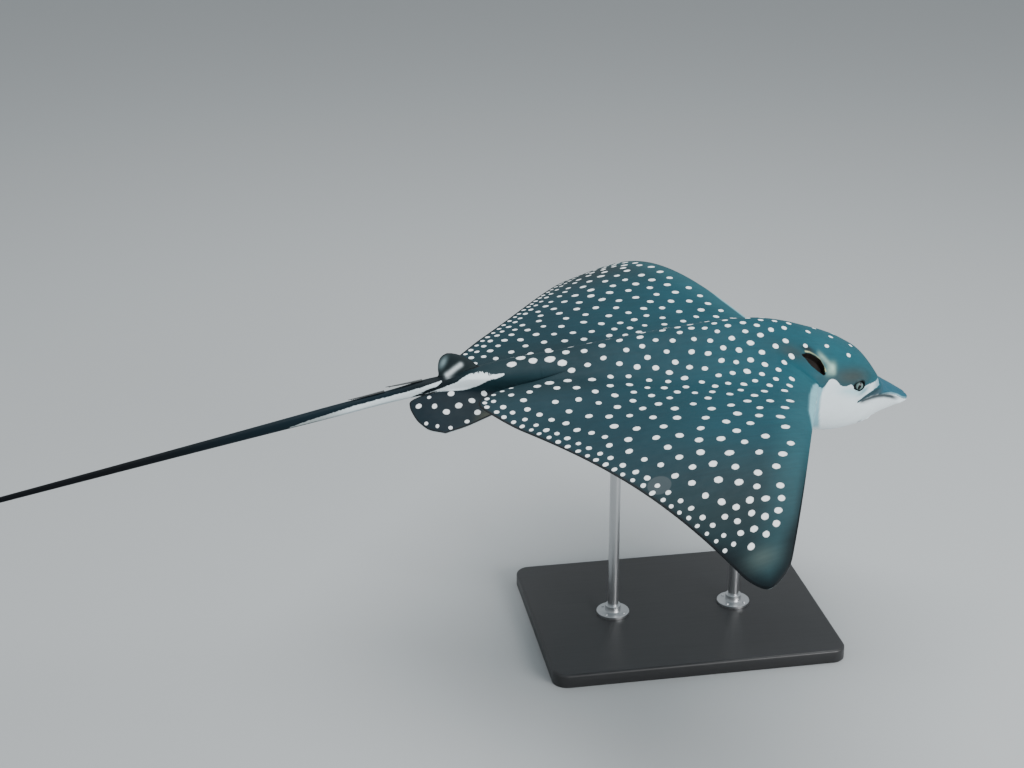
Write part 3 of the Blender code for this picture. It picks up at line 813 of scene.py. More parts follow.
frown_line = np.array([(0.134, 0.0835, -0.0425), (0.1304, 0.0827, -0.0398), (0.1174, 0.0801, -0.0315),
                       (0.1011, 0.0750, -0.0252), (0.0890, 0.0700, -0.0215), (0.0790, 0.0650, -0.0200)])
lip_line = np.array([(0.0820, 0.0660, -0.0300), (0.0750, 0.0633, -0.0277), (0.0619, 0.0574, -0.0283),
                     (0.0466, 0.0500, -0.0319), (0.0318, 0.0400, -0.0386), (0.0211, 0.0330, -0.0457),
                     (0.0110, 0.0240, -0.0505), (0.0020, 0.0120, -0.0540), (-0.0030, 0.0, -0.0550)])
under_lip = np.array([(0.1060, 0.0765, -0.0345), (0.0940, 0.0715, -0.0350), (0.0764, 0.0634, -0.0362),
                      (0.0581, 0.0556, -0.0384), (0.0352, 0.0440, -0.0486), (0.0211, 0.0340, -0.0560),
                      (0.0110, 0.0220, -0.0600)])
cheek_fold = np.array([(0.0870, 0.0665, 0.0000), (0.0950, 0.0700, -0.0040), (0.1079, 0.0781, -0.0105),
                       (0.1213, 0.0823, -0.0210), (0.1317, 0.0842, -0.0330)])
spiracle_line = np.array([(0.2515, 0.0765, 0.0635), (0.2440, 0.0790, 0.0610), (0.2370, 0.0820, 0.0570),
                          (0.2290, 0.0855, 0.0510), (0.2215, 0.0885, 0.0450), (0.2150, 0.0920, 0.0365),
                          (0.2095, 0.0945, 0.0270)])
spiracle_half = np.array([0.0014, 0.0052, 0.0080, 0.0096, 0.0098, 0.0080, 0.0030])
spiracle_line = spiracle_line + np.array([0.0014, 0, -0.0018])
spiracle_rim = np.array([(0.2450, 0.0740, 0.0665), (0.2370, 0.0755, 0.0650), (0.2260, 0.0795, 0.0595),
                         (0.2175, 0.0835, 0.0520), (0.2120, 0.0880, 0.0410), (0.2075, 0.0930, 0.0290)])
spiracle_streak = np.array([(0.2239, 0.0678, 0.0648), (0.2162, 0.0708, 0.0601), (0.2091, 0.0763, 0.0528),
                            (0.2012, 0.0828, 0.0437), (0.1947, 0.0899, 0.0348), (0.1909, 0.0929, 0.0260)])
patch_centre = np.array([0.1940, 0.0900, 0.0320])
SPIRACLE_DEPTH = 0.013
SIDE_VIEW = np.array([1.0, 0.3, 1.0])
FAR = 9.0
HEAD_END = 0.36


def nearest_on(line, at):
    """Distance from each place to a line of straight lengths, and how far along it the nearest point is."""
    best = np.full(len(at), FAR)
    place = np.zeros(len(at))
    for i, (start, end) in enumerate(zip(line, line[1:])):
        way = end - start
        t = np.clip((at - start) @ way / max(way @ way, 1e-12), 0, 1)
        distance = np.linalg.norm(at - start - t[:, None] * way, axis=1)
        nearer = distance < best
        best[nearer] = distance[nearer]
        place[nearer] = (i + t[nearer]) / (len(line) - 1)
    return best, place


def along(points, line):
    """The same for a line on the head, judged mostly as it is seen from the side."""
    return nearest_on(line * SIDE_VIEW, points * SIDE_VIEW)


def one_side(points):
    """The points folded on to the left side, as both sides are alike."""
    return points * np.array([1, 0, 1]) + np.abs(points) * np.array([0, 1, 0])


def detail_need(points):
    """The length that edges should have here, in metres, where the skin is carved or finely painted."""
    folded = one_side(points)
    need = np.full(len(points), 1.0)
    fine = (
        (frown_line, 0.010, 0.0013),
        (lip_line, 0.008, 0.0014),
        (under_lip, 0.008, 0.0014),
        (cheek_fold, 0.010, 0.0022),
        (spiracle_line, 0.014, 0.0012),
        (spiracle_rim, 0.008, 0.0010),
        (spiracle_rim, 0.0035, 0.0006),
        (spiracle_streak, 0.012, 0.0018),
    )
    for line, reach, length in fine:
        need = np.where(along(folded, line)[0] < reach, np.minimum(need, length), need)
    eye_distance = np.linalg.norm(folded - EYE_CENTRE, axis=1)
    need = np.where(eye_distance < 0.0235, np.minimum(need, 0.0010), need)
    below = points[:, 2] < -0.06
    mouth = below & (np.abs(points[:, 0] - 0.100) < 0.036) & (np.abs(points[:, 1]) < 0.055)
    need = np.where(mouth, np.minimum(need, 0.0017), need)
    return need


def refine(mesh, rounds):
    """Halves the edges that are longer than the detail there needs."""
    work = bmesh.new()
    work.from_mesh(mesh)
    for _ in range(rounds):
        middles = np.array([(e.verts[0].co + e.verts[1].co) / 2 for e in work.edges])
        lengths = np.array([e.calc_length() for e in work.edges])
        work.edges.ensure_lookup_table()
        near = np.flatnonzero((middles[:, 0] < HEAD_END) & (lengths > 0.001))
        need = detail_need(middles[near])
        long_edges = [work.edges[i] for i in near[lengths[near] > 1.35 * need]]
        bmesh.ops.subdivide_edges(work, edges=long_edges, cuts=1, use_grid_fill=True)
        crowded = [face for face in work.faces if len(face.verts) > 4]
        bmesh.ops.triangulate(work, faces=crowded)
    work.to_mesh(mesh)
    work.free()


refine(flat_mesh, 4)
points = read_points(flat_mesh)
normals = read_normals(flat_mesh)
folded = one_side(points)
on_head = points[:, 0] < HEAD_END
push = np.zeros(len(points))


def line_relief(line, height, width, taper=0.12):
    """A ridge or a groove along a line on both sides of the head, which fades out at its ends."""
    distance, place = along(folded, line)
    fade = ease(place, 0.0, taper) * (1 - ease(place, 1 - taper, 1.0))
    return np.where(on_head, height * fade * np.exp(-((distance / width) ** 2)), 0)


push += line_relief(frown_line, -0.0028, 0.0022, 0.20)
push += line_relief(frown_line + np.array([0, 0.002, 0.0048]), 0.0012, 0.0035, 0.25)
push += line_relief(lip_line, 0.0020, 0.0026, 0.10)
push += line_relief(lip_line + np.array([0.0, -0.004, 0.0075]), -0.0018, 0.0045, 0.15)
push += line_relief(under_lip, -0.0024, 0.0028, 0.18)
push += line_relief(under_lip + np.array([0, 0, -0.0075]), 0.0010, 0.0045, 0.2)
push += line_relief(cheek_fold, 0.0014, 0.0060, 0.25)
push += line_relief(cheek_fold + np.array([0.006, 0, 0.010]), -0.0012, 0.0050, 0.3)

distance, place = along(folded, spiracle_line)
half = np.interp(place, np.linspace(0, 1, len(spiracle_half)), spiracle_half)
mouth_of_spiracle = np.where(on_head, 1 - ease(distance / half, 0.55, 1.12), 0)
push -= SPIRACLE_DEPTH * mouth_of_spiracle * ease(half, 0.0008, 0.004)
push += line_relief(spiracle_rim, 0.0019, 0.0019, 0.10)
behind_rim = spiracle_line + np.array([0.0055, 0.004, -0.0045])
push += line_relief(behind_rim, 0.0012, 0.0030, 0.2)
push += line_relief(spiracle_streak, 0.0016, 0.0046, 0.3)
from_patch = np.linalg.norm((folded - patch_centre) / np.array([0.013, 0.011, 0.011]), axis=1)
push += np.where(on_head, 0.0022 * np.exp(-(from_patch**2) * 1.6), 0)
points = points + push[:, None] * normals

# Lids: the skin is laid over the eyeball as a rounded rim, and drawn in behind it inside the opening
folded = one_side(points)
du = folded[:, 0] - EYE_CENTRE[0]
dz = folded[:, 2] - EYE_CENTRE[2]
length_way = (-du * math.cos(LID_TILT) + dz * math.sin(LID_TILT)) / LID_HALF_LENGTH
height_way = (du * math.sin(LID_TILT) + dz * math.cos(LID_TILT)) / LID_HALF_HEIGHT
around_eye = np.hypot(length_way, height_way)
beside = np.hypot(du, dz)
ball_y = EYE_CENTRE[1] + np.sqrt(np.maximum(EYE_RADIUS**2 - np.minimum(beside, EYE_RADIUS * 0.97) ** 2, 0))
lid_y = ball_y + LID_RISE + 0.0016 * np.sin(np.pi * np.clip((around_eye - 0.94) / 0.5, 0, 1))
hidden_y = ball_y - 0.0050
lid_y = lid_y + (hidden_y - lid_y) * (1 - ease(around_eye, 0.90, 1.01))
near_eye = (folded[:, 0] < 0.18) & (folded[:, 0] > 0.09) & (folded[:, 1] > 0.055)
proud_y = soft_max(folded[:, 1], lid_y, 0.0016)
lid_y = lid_y + (proud_y - lid_y) * ease(around_eye, 1.0, 1.12)
hold = np.where(near_eye, 1 - ease(around_eye, 1.5, 2.3), 0)
new_y = folded[:, 1] + hold * (lid_y - folded[:, 1])
points[:, 1] = np.where(points[:, 1] < 0, -new_y, new_y)


# ---- Carving the mouth and gills ----------------------------------------------------------------------
# Under the head the bill's flap of skin hangs over a wide mouth with a nostril at each of its front corners,
# and five gill slits open on each side of the breast.
MOUTH_U = 0.113
MOUTH_HALF = 0.040
FLAP_FRONT = 0.080
GILL_FIRST = 0.232
GILL_STEP = 0.0255
GILL_COUNT = 5

write_points(flat_mesh, points)
normals = read_normals(flat_mesh)
u, y, z = points.T
under = (normals[:, 2] < -0.25) & (z < -0.02)
away = np.abs(y)
across = np.clip(away / MOUTH_HALF, 0, 1.6)
mouth_u = MOUTH_U - 0.008 * across**2
mouth_fade = 1 - ease(across, 0.80, 1.08)
push = np.zeros(len(points))
flap = ease(u, FLAP_FRONT, FLAP_FRONT + 0.012) * (1 - ease(u, mouth_u - 0.0045, mouth_u - 0.0015))
frill = 0.0008 * np.sin(y * 2 * math.pi / 0.0042) * ease(u, mouth_u - 0.012, mouth_u - 0.004)
push += np.where(under, (0.0034 + frill) * flap * (1 - ease(away, 0.030, 0.041)), 0)
push -= np.where(under, 0.0085 * np.exp(-(((u - mouth_u - 0.0016) / 0.0026) ** 2)) * mouth_fade, 0)
mouth_gap_shade = np.where(under, np.exp(-(((u - mouth_u - 0.0014) / 0.0030) ** 2)) * mouth_fade, 0)
push += np.where(under, 0.0022 * np.exp(-(((u - mouth_u - 0.0085) / 0.0040) ** 2)) * mouth_fade, 0)
nostril = np.hypot((u - 0.0865) / 0.0050, (away - 0.0375) / 0.0034)
nostril_shade = np.where(under, 1 - ease(nostril, 0.35, 1.0), 0)
push -= np.where(under, 0.0060 * (1 - ease(nostril, 0.35, 1.15)), 0)
push += np.where(under, 0.0010 * np.exp(-((nostril - 1.5) ** 2) * 5), 0)
gill_slit_shade = np.zeros(len(points))
for number in range(GILL_COUNT):
    slit_u = GILL_FIRST + GILL_STEP * number
    slit_y = 0.058 - 0.0035 * number
    reach = 0.0125 - 0.0007 * number
    t = (away - slit_y) / reach
    bow = slit_u + 0.0035 * t**2 - 0.002 * t
    fade = 1 - ease(np.abs(t), 0.75, 1.1)
    slit = np.where(under, np.exp(-(((u - bow) / 0.0022) ** 2)) * fade, 0)
    gill_slit_shade += slit
    push -= 0.0034 * slit
    push += np.where(under, 0.0022 * np.exp(-(((u - bow + 0.0052) / 0.0045) ** 2)) * fade, 0)
vent = np.exp(-((y / 0.0022) ** 2)) * (1 - ease(np.abs(u - 0.905), 0.009, 0.013))
push -= np.where(under, 0.0025 * vent, 0)
points = points + push[:, None] * normals


# ---- The ray's markings -------------------------------------------------------------------------------
# Dark above with white spots, white below, as in life; a painted skin over the whole cast. Tones, the edge
# of the white, the spots and the dark rims are worked out along the skin while it still lies flat.
write_points(flat_mesh, points)
normals = read_normals(flat_mesh)
u, y, z = points.T
away = np.abs(y)
folded = one_side(points)
up_way = normals[:, 2]


def linear(*shades):
    """A colour as light from display shades of 0 to 255."""
    return (np.array(shades) / 255) ** 2.2


def tint(tone, weight, *shades):
    return tone + np.clip(weight, 0, 1)[:, None] * (linear(*shades) - tone)


def blob(centre, reach, slant=0.0):
    """A soft patch on both sides of the head or trunk, seen from the side and turned by a slant."""
    du = folded[:, 0] - centre[0]
    dz = folded[:, 2] - centre[2]
    long_way = (du * math.cos(slant) + dz * math.sin(slant)) / reach[0]
    short_way = (dz * math.cos(slant) - du * math.sin(slant)) / reach[1]
    deep_way = (folded[:, 1] - centre[1]) / 0.035
    return np.exp(-(long_way**2 + short_way**2 + deep_way**2))


def near_line(line, width):
    distance, place = along(folded, line)
    return np.where(u < HEAD_END, np.exp(-((distance / width) ** 2)), 0), place


rim_fronts = []
rim_rears = []
for span in np.linspace(0, 0.9995, 90):
    over, under = wing_section(span, np.array([0.0, 1.0]), 1)
    rim_fronts.append(over[0][:2])
    rim_rears.append(over[1][:2])
rear_rim_line = np.array(rim_rears)
front_rim_line = np.array(rim_fronts)
pelvic_spans = np.linspace(0, 1, 30)
pelvic_rim_line = np.concatenate([
    np.stack([pelvic_front_u(pelvic_spans), pelvic_front_y(pelvic_spans)], 1),
    np.stack([pelvic_rear_u(pelvic_spans), pelvic_rear_y(pelvic_spans)], 1)[::-1],
])
plan = folded[:, :2]
to_rear_rim = nearest_on(rear_rim_line, plan)[0]
to_front_rim = nearest_on(front_rim_line, plan)[0]
to_pelvic_rim = nearest_on(pelvic_rim_line, plan)[0]
pelvic_level = PELVIC_LEVEL - PELVIC_SLOPE * (away - rear_width(u))
on_pelvic = (away > rear_width(u) + 0.001) & (u > 0.79) & (np.abs(z - pelvic_level) < 0.009)
on_dorsal = (away < 0.009) & (u > 0.875) & (u < 0.97) & (z > body_top(u) + 0.001)
on_wing = (away > 0.105) & (u > 0.20) & ~on_pelvic
DARKENING = 0.67

# The edge of the white on the head: under a wavy line behind the eye, then down the front of the cheek to
# the lips, with a dark wedge of painted shade cut into it along the frown's groove
head_white = profile((0.083, 0.001), (0.0922, -0.001), (0.105, -0.004), (0.12, -0.008), (0.1336, -0.017),
                     (0.145, -0.008), (0.1512, -0.0017), (0.1622, -0.0038), (0.1735, -0.0018),
                     (0.1874, 0.0118), (0.2000, 0.0119), (0.2080, 0.002), (0.222, -0.020))
lip_shadow = np.array([(0.132, 0.082, -0.0425), (0.1165, 0.079, -0.0375), (0.099, 0.072, -0.0350),
                       (0.083, 0.064, -0.0350), (0.068, 0.0575, -0.0365), (0.0515, 0.050, -0.0415),
                       (0.0355, 0.042, -0.0490), (0.022, 0.034, -0.0540)])
lip_level = profile(*[(float(p[0]), float(p[2])) for p in lip_line[::-1]])
behind_cheek = np.minimum(head_white(u) - z, 0.6 * (u - 0.084))
head_field = np.where(u < 0.105, np.maximum(behind_cheek, lip_level(u) - 0.0060 - z), behind_cheek)
from_frown, frown_place = along(folded, frown_line)
wedge_half = np.interp(frown_place, [0, 0.12, 0.45, 0.8, 1.0], [0, 0.0014, 0.0042, 0.0078, 0.0100])
head_field = np.where(u < 0.15, np.minimum(head_field, from_frown - wedge_half), head_field)

# On the wings and trunk the white is what faces down; near its root the blunt front edge is white too
root_front = (1 - ease(away, 0.16, 0.30)) * (to_front_rim < 0.02) * (z < 0.0)
below_field = -(up_way - 0.05 - 0.40 * root_front) * 0.010
head_share = 1 - ease(u, 0.205, 0.225)
white_edge = head_field * head_share + below_field * (1 - head_share)

# Two white bands with a black stripe between them run from the flanks back on to the tail's sides
around_body = np.arctan2(z, away)
flank = (away < rear_width(u) + 0.0035) & (u > 0.80) & ~on_dorsal
band_radius = np.hypot(z, away)
first_over = profile((0.835, 0.72), (0.862, 0.76), (0.875, 0.95), (0.89, 1.02), (0.904, 0.92), (0.93, 0.46),
                     (0.95, 0.18), (0.971, -0.16), (0.99, -0.5), (1.0, -0.8))
first_under = profile((0.835, 0.66), (0.848, 0.56), (0.869, 0.47), (0.889, 0.24), (0.91, 0.06), (0.94, -0.14),
                      (0.973, -0.25), (0.99, -0.52), (1.0, -0.9))
second_over = profile((0.950, 0.90), (0.960, 0.78), (0.974, 0.62), (1.000, 0.44), (1.030, 0.40), (1.10, 0.40),
                      (1.140, 0.34), (1.175, 0.16), (1.22, -0.05), (1.26, -0.50))
second_under = profile((0.950, 0.86), (0.960, 0.44), (0.986, 0.05), (1.004, -0.35), (1.02, -0.8),
                       (1.04, -1.7), (1.12, -1.7), (1.15, -1.15), (1.20, -0.75), (1.26, -0.62))
first_band = np.minimum(around_body - first_under(u), first_over(u) - around_body) * band_radius
first_band = np.where((u > 0.836) & (u < 1.0), first_band, -0.01)
second_band = np.minimum(around_body - second_under(u), second_over(u) - around_body) * band_radius
second_band = np.where((u > 0.952) & (u < 1.26), second_band, -0.01)
under_level = profile((0.80, 0.0), (0.83, -0.06), (0.87, -0.30), (0.91, -0.58), (0.96, -0.75), (1.2, -0.75))
tail_under = (under_level(u) - around_body) * band_radius - 0.02 * ease(u, 1.12, 1.18)
rump = ease(u, 0.80, 0.835)
flank_field = np.maximum(np.maximum(first_band, second_band), tail_under)
white_edge = np.where(flank, white_edge + rump * (flank_field - white_edge), white_edge)
white_edge = np.where(u > 1.03, flank_field, white_edge)
in_crease = (u > 0.60) & (u < 0.835) & (away < 0.09) & (z > 0.008) & (up_way > -0.35)
dark_above = on_dorsal | in_crease | ((u < 0.33) & (u > 0.19) & (z > 0.016)) | (mouth_of_spiracle > 0.05)
white_edge = np.where(dark_above, -0.01, white_edge)

# Tones of the dark skin
# Painted shade: near its root the pale front edge of each wing is painted the cyan grey of white skin in
# shade
front_strip = np.interp(away, [0.100, 0.13, 0.20, 0.30, 0.38], [0.004, 0.011, 0.014, 0.011, 0.0])
shaded_front_strip = on_wing * (z < 0.030) * (1 - ease(to_front_rim - front_strip, -0.0030, 0.0012)) * (front_strip > 0)
upper = np.tile(linear(22, 68, 79), (len(points), 1))
forward = (1 - ease(u, 0.34, 0.62)) * (1 - ease(away, 0.44, 0.60))
upper = tint(upper, 0.85 * forward, 28, 86, 99)
upper = tint(upper, 0.60 * ease(u, 0.56, 0.74), 14, 54, 64)
upper = tint(upper, 0.8 * (1 - ease(u, 0.15, 0.34)) * (1 - ease(away, 0.10, 0.26)), 44, 100, 112)
upper = tint(upper, 1 - ease(u, 0.066, 0.088), 46, 104, 124)
upper = tint(upper, 0.9 * ease(away, 0.34, 0.60), 36, 56, 60)
upper = tint(upper, 0.6 * on_wing * (1 - ease(to_front_rim, 0.020, 0.085)), 50, 102, 112)
upper = tint(upper, 0.5 * ease(away, 0.50, 0.72) * (1 - ease(to_front_rim, 0.020, 0.085)), 48, 64, 66)
upper = tint(upper, 0.7 * ease(u, 0.55, 0.80) * (1 - ease(away, 0.10, 0.2)), 26, 52, 58)
upper = tint(upper, ease(u, 0.86, 0.96) * (away < 0.05), 18, 34, 40)
upper = tint(upper, 0.95 * on_pelvic, 8, 38, 48)
pelvic_front = (1 - ease(u, 0.875, 0.915)) * (1 - ease(to_pelvic_rim, 0.004, 0.022))
upper = tint(upper, 0.8 * on_pelvic * pelvic_front, 88, 92, 80)
upper = tint(upper, 1.0 * on_dorsal, 36, 50, 53)
upper = tint(upper, ease(u, 1.0, 1.06), 12, 38, 48)
upper = tint(upper, ease(u, 1.2, 1.6), 6, 15, 22)
upper = upper * DARKENING
# Painted shade on the pale front edge of the wing near its root
upper = tint(upper, 0.85 * shaded_front_strip, 128, 178, 188)
upper = tint(upper, 1.0 * blob((0.150, 0.086, 0.014), (0.048, 0.0185)), 54, 66, 66)
upper = tint(upper, 0.75 * blob((0.276, 0.070, 0.068), (0.036, 0.0130), 0.35), 52, 62, 62)
streak, place = near_line(spiracle_streak, 0.0052)
upper = tint(upper, 0.85 * streak * ease(place, 0.0, 0.35), 126, 156, 146)
upper = tint(upper, 1.0 * blob((0.1955, 0.091, 0.0330), (0.0110, 0.0075), -0.9), 158, 194, 178)
upper = tint(upper, 0.95 * blob((0.2390, 0.0745, 0.0705), (0.0130, 0.0042), 0.30), 30, 36, 37)
dark_edge, place = near_line(spiracle_rim + np.array([-0.0005, 0, 0.0042]), 0.0034)
upper = tint(upper, 0.8 * dark_edge * ease(place, 0.0, 0.2) * (1 - ease(place, 0.35, 0.6)), 38, 46, 48)
fold_shade, place = near_line(spiracle_rim + np.array([-0.0030, 0, 0.0026]), 0.0010)
upper = tint(upper, 0.6 * fold_shade * ease(place, 0.1, 0.3) * (1 - ease(place, 0.7, 0.9)), 70, 84, 82)
pale_edge, place = near_line(spiracle_rim + np.array([-0.0004, 0, 0.0004]), 0.0013)
upper = tint(upper, 0.95 * pale_edge, 205, 206, 150)
# Painted shade: the inside of the spiracle is darkened to a deep brown
spiracle_inside_shade = ease(mouth_of_spiracle, 0.02, 0.12) * (u > 0.2) * (u < 0.268)
upper = tint(upper, spiracle_inside_shade, 34, 29, 27)
ring_of_eye = ease(around_eye, 0.90, 1.0) * (1 - ease(around_eye, 1.12, 1.42))
upper = tint(upper, 0.95 * ring_of_eye * near_eye, 14, 18, 22)
front_mark = np.array([(0.917, 0, 0.041), (0.927, 0, 0.034), (0.935, 0, 0.027), (0.942, 0, 0.022)])
on_mark = np.exp(-((along(points * np.array([1, 0, 1]), front_mark)[0] / 0.0042) ** 2))
rear_top = np.exp(-(((u - 0.9485 + 0.35 * (z - 0.047)) / 0.0050) ** 2) - ((z - 0.047) / 0.0105) ** 2)
beside_dorsal = (away < 0.014) & (z > body_top(u) - 0.010) & (u > 0.89) & (u < 0.98)
upper = tint(upper, 1.15 * on_mark * beside_dorsal, 214, 224, 226)
upper = tint(upper, 0.85 * rear_top * on_dorsal, 140, 162, 166)
dorsal_edge = on_dorsal & (np.abs(normals[:, 1]) < 0.86)
upper = tint(upper, 0.9 * dorsal_edge * (on_mark < 0.4), 8, 16, 20)
edge_shade = on_wing * (1 - ease(to_rear_rim, 0.002, 0.013))
upper = tint(upper, 0.55 * edge_shade, 14, 30, 36)
front_shade = on_wing * (1 - ease(to_front_rim, 0.002, 0.016)) * ease(away, 0.40, 0.60)
upper = tint(upper, 0.6 * front_shade, 16, 30, 34)
to_rim = np.minimum(to_rear_rim, to_front_rim)
tip_shade = on_wing * ease(away, 0.60, 0.66) * (1 - ease(to_rim, 0.004, 0.034))
upper = tint(upper, 0.85 * tip_shade, 16, 26, 30)
tip_cloud = np.exp(-(((u - 0.502) / 0.026) ** 2) - ((away - 0.672) / 0.017) ** 2)
upper = tint(upper, 0.60 * tip_cloud, 80, 92, 88)

# Tones of the white skin
lower = np.tile(linear(228, 240, 244), (len(points), 1))
# Painted shade: cyan grey on the white below the eye, along the hollow between the eye and the cheek fold
lower = tint(lower, 0.75 * blob((0.150, 0.090, -0.016), (0.034, 0.010), 0.25), 158, 206, 216)
lower = tint(lower, 0.55 * blob((0.112, 0.080, -0.026), (0.020, 0.0055), -0.55), 186, 218, 226)
lower = tint(lower, 0.85 * blob((0.121, 0.078, -0.0165), (0.014, 0.0050), -0.60), 92, 150, 162)
# Painted shade: a cyan grey band on the white skin behind the cheek, towards the wing root
shade_behind_cheek_u = profile((-0.105, 0.195), (-0.0985, 0.1990), (-0.068, 0.2113), (-0.0325, 0.2159), (-0.011, 0.2143),
                   (0.010, 0.2050), (0.020, 0.2050))
shade_behind_cheek = ease(u - shade_behind_cheek_u(np.clip(z, -0.105, 0.020)), -0.0012, 0.0012) * ease(away, 0.040, 0.075)
shade_behind_cheek *= (1 - ease(u, 0.234, 0.268)) * ease(z, -0.112, -0.088)
lower = tint(lower, 0.9 * shade_behind_cheek * (z < 0.016), 118, 172, 186)
toward_bill = (1 - ease(u, 0.086, 0.108)) * ease(z, -0.024, -0.016)
lower = tint(lower, 0.85 * toward_bill, 104, 150, 166)
lower = tint(lower, 0.5 * ease(away, 0.30, 0.62) * on_wing, 168, 178, 180)
lower = tint(lower, 0.9 * ease(away, 0.60, 0.70) * on_wing, 74, 86, 88)
lower = tint(lower, 0.9 * on_wing * (1 - ease(to_rear_rim, 0.012, 0.050)), 84, 98, 100)
under_front_edge = on_wing * (1 - ease(to_front_rim, 0.004, 0.020)) * ease(away, 0.2, 0.4)
lower = tint(lower, 0.5 * under_front_edge, 110, 128, 130)
lower = tint(lower, 0.6 * on_pelvic * (1 - ease(to_pelvic_rim, 0.004, 0.020)), 100, 112, 114)
# Painted shade: the downward face of the tail's root is greyed
lower = tint(lower, 0.7 * ease(u, 1.0, 1.05) * ease(-around_body, 0.35, 0.6), 132, 150, 156)
lower = tint(lower, 0.7 * ease(u, 1.12, 1.20), 130, 138, 136)


def with_lips(tone):
    """The pale rim of the lips, painted shade in the hollow at their corner and the painted shade under them,
    on either skin.
    """
    lip_rim, place = near_line(lip_line + np.array([0, 0, -0.0040]), 0.0016)
    tone = tint(tone, 0.75 * lip_rim * ease(place, 0.02, 0.2) * (1 - ease(place, 0.80, 1.0)), 150, 190, 200)
    # Painted shade in the hollow between the bill's rim and the head
    tone = tint(tone, 1.0 * blob((0.0890, 0.0700, -0.0275), (0.0170, 0.0062), -0.35), 60, 80, 90)
    band, place = near_line(lip_shadow, 0.0046)
    return tint(tone, 1.1 * band * ease(place, 0.0, 0.10) * (1 - ease(place, 0.72, 1.0)), 70, 80, 84)


upper = with_lips(upper)
lower = with_lips(lower)
# Painted shade along the frown's groove
frown_shade = np.where(u < 0.15, 1 - ease(from_frown - wedge_half * 0.55, -0.0004, 0.0014), 0)
upper = tint(upper, 0.85 * frown_shade * (1 - ease(frown_place, 0.75, 1.0)), 48, 70, 78)
# Painted shade: the mouth's gap, the gill slits and the nostril pits are darkened inside the carved openings
lower = tint(lower, 1.0 * mouth_gap_shade, 62, 40, 40)
lower = tint(lower, 0.55 * gill_slit_shade, 92, 102, 106)
lower = tint(lower, 0.9 * nostril_shade, 50, 44, 46)

# The dark rim of the fins, as a distance from the free edge
rim = np.where(on_wing, np.minimum(to_rear_rim, to_front_rim + 0.004 * (1 - ease(away, 0.45, 0.66))), 1.0)
rim = np.where(on_wing & (to_front_rim < to_rear_rim) & (away < 0.45), 1.0, rim)
rim = np.where(on_pelvic, np.minimum(rim, to_pelvic_rim + 0.0006), rim)


def point_value(name, kind, values):
    made = flat_mesh.attributes.new(name, kind, "POINT")
    field = {"FLOAT": "value", "FLOAT_VECTOR": "vector", "FLOAT_COLOR": "color"}[kind]
    made.data.foreach_set(field, np.asarray(values, float).ravel())


solid = np.ones((len(points), 1))
point_value("flat", "FLOAT_VECTOR", points)
point_value("white_edge", "FLOAT", white_edge)
point_value("upper_tone", "FLOAT_COLOR", np.concatenate([np.clip(upper, 0, 1), solid], 1))
point_value("lower_tone", "FLOAT_COLOR", np.concatenate([np.clip(lower, 0, 1), solid], 1))
point_value("rim", "FLOAT", rim)


# ---- The spots ----------------------------------------------------------------------------------------
# White spots are set out by chance but never closer than a distance that changes over the body: wide on the
# middle of the wings, close near the tips, and in two even rows along the rear edges.
SPOT_SEED = 7
ROW_OFFSETS = ((0.0098, 0.0230, 0.0045, 0.075), (0.0265, 0.0275, 0.0051, 0.150))
PELVIC_THROWS = 1500
THROWS = 42000
MOST_SPOTS = 3000
RELAX_ROUNDS = 10
RELAX_STEP = 0.10
RELAX_SPACING = 1.22

dice = random.Random(SPOT_SEED)
skin_tree = BVHTree.FromPolygons([v.co for v in flat_mesh.vertices], [p.vertices for p in flat_mesh.polygons])


def spot_rule(at_u, at_y, to_rear):
    """The least distance between spots here and their radius."""
    out = abs(at_y)
    spacing = 0.0245 + 0.0105 * float(ease(out, 0.15, 0.27))
    spacing += (0.0330 - spacing) * float(ease(at_u, 0.52, 0.66)) * (1 - float(ease(out, 0.25, 0.35)))
    spacing -= 0.0145 * float(ease(out, 0.46, 0.60))
    spacing = min(spacing, 0.0225 + 0.0115 * float(ease(to_rear, 0.038, 0.090)))
    radius = 0.0057 + 0.0010 * float(ease(out, 0.17, 0.3)) - 0.0010 * float(ease(out, 0.5, 0.62))
    radius = min(radius, 0.0053 + 0.0014 * float(ease(to_rear, 0.03, 0.1)))
    if at_u > 0.62 and out < 0.13:
        grow = float(ease(at_u, 0.62, 0.80)) * (1 - float(ease(out, 0.09, 0.13)))
        radius += (0.0088 - radius) * grow
    if at_u < 0.26:
        spacing = 0.038
        radius = 0.0046
    return spacing, radius


def spot_allowed(at_u, at_y, place, way, to_rear, to_front):
    out = abs(at_y)
    if at_u < 0.125 or at_u > 0.905 or way.z < (0.35 if at_u < 0.62 else 0.12):
        return False
    if at_u < 0.27 and (out > 0.062 or place.z < 0.05):
        return False
    if out > ROOT_FRONT[1] - 0.02 and to_front < 0.050 - 0.020 * float(ease(out, 0.15, 0.55)):
        return False
    if out > 0.648 or to_rear < 0.036:
        return False
    return at_u < 0.825 or out > float(rear_width(at_u)) + 0.006


spots = []
taken = np.full((MOST_SPOTS, 3), FAR)
spot_spacing = np.zeros(MOST_SPOTS)


def drop_spot(at_u, at_y, rule):
    """Sets one spot on the upper skin, if the rule allows it there."""
    place, way, index, distance = skin_tree.ray_cast(Vector((at_u, at_y, 0.5)), Vector((0, 0, -1)))
    if place is None:
        return
    allowed = rule(at_u, at_y, place, way)
    if not allowed:
        return
    spacing, radius = allowed
    gaps = taken[: len(spots)] - np.array(place)
    if len(spots) and float(np.min(np.einsum("ij,ij->i", gaps, gaps))) < spacing**2:
        return
    taken[len(spots)] = place
    spot_spacing[len(spots)] = spacing
    size = radius * dice.uniform(0.88, 1.10)
    spots.append((np.array(place), np.array(way), size, 1 + 0.18 * dice.random(), dice.uniform(0, math.pi)))


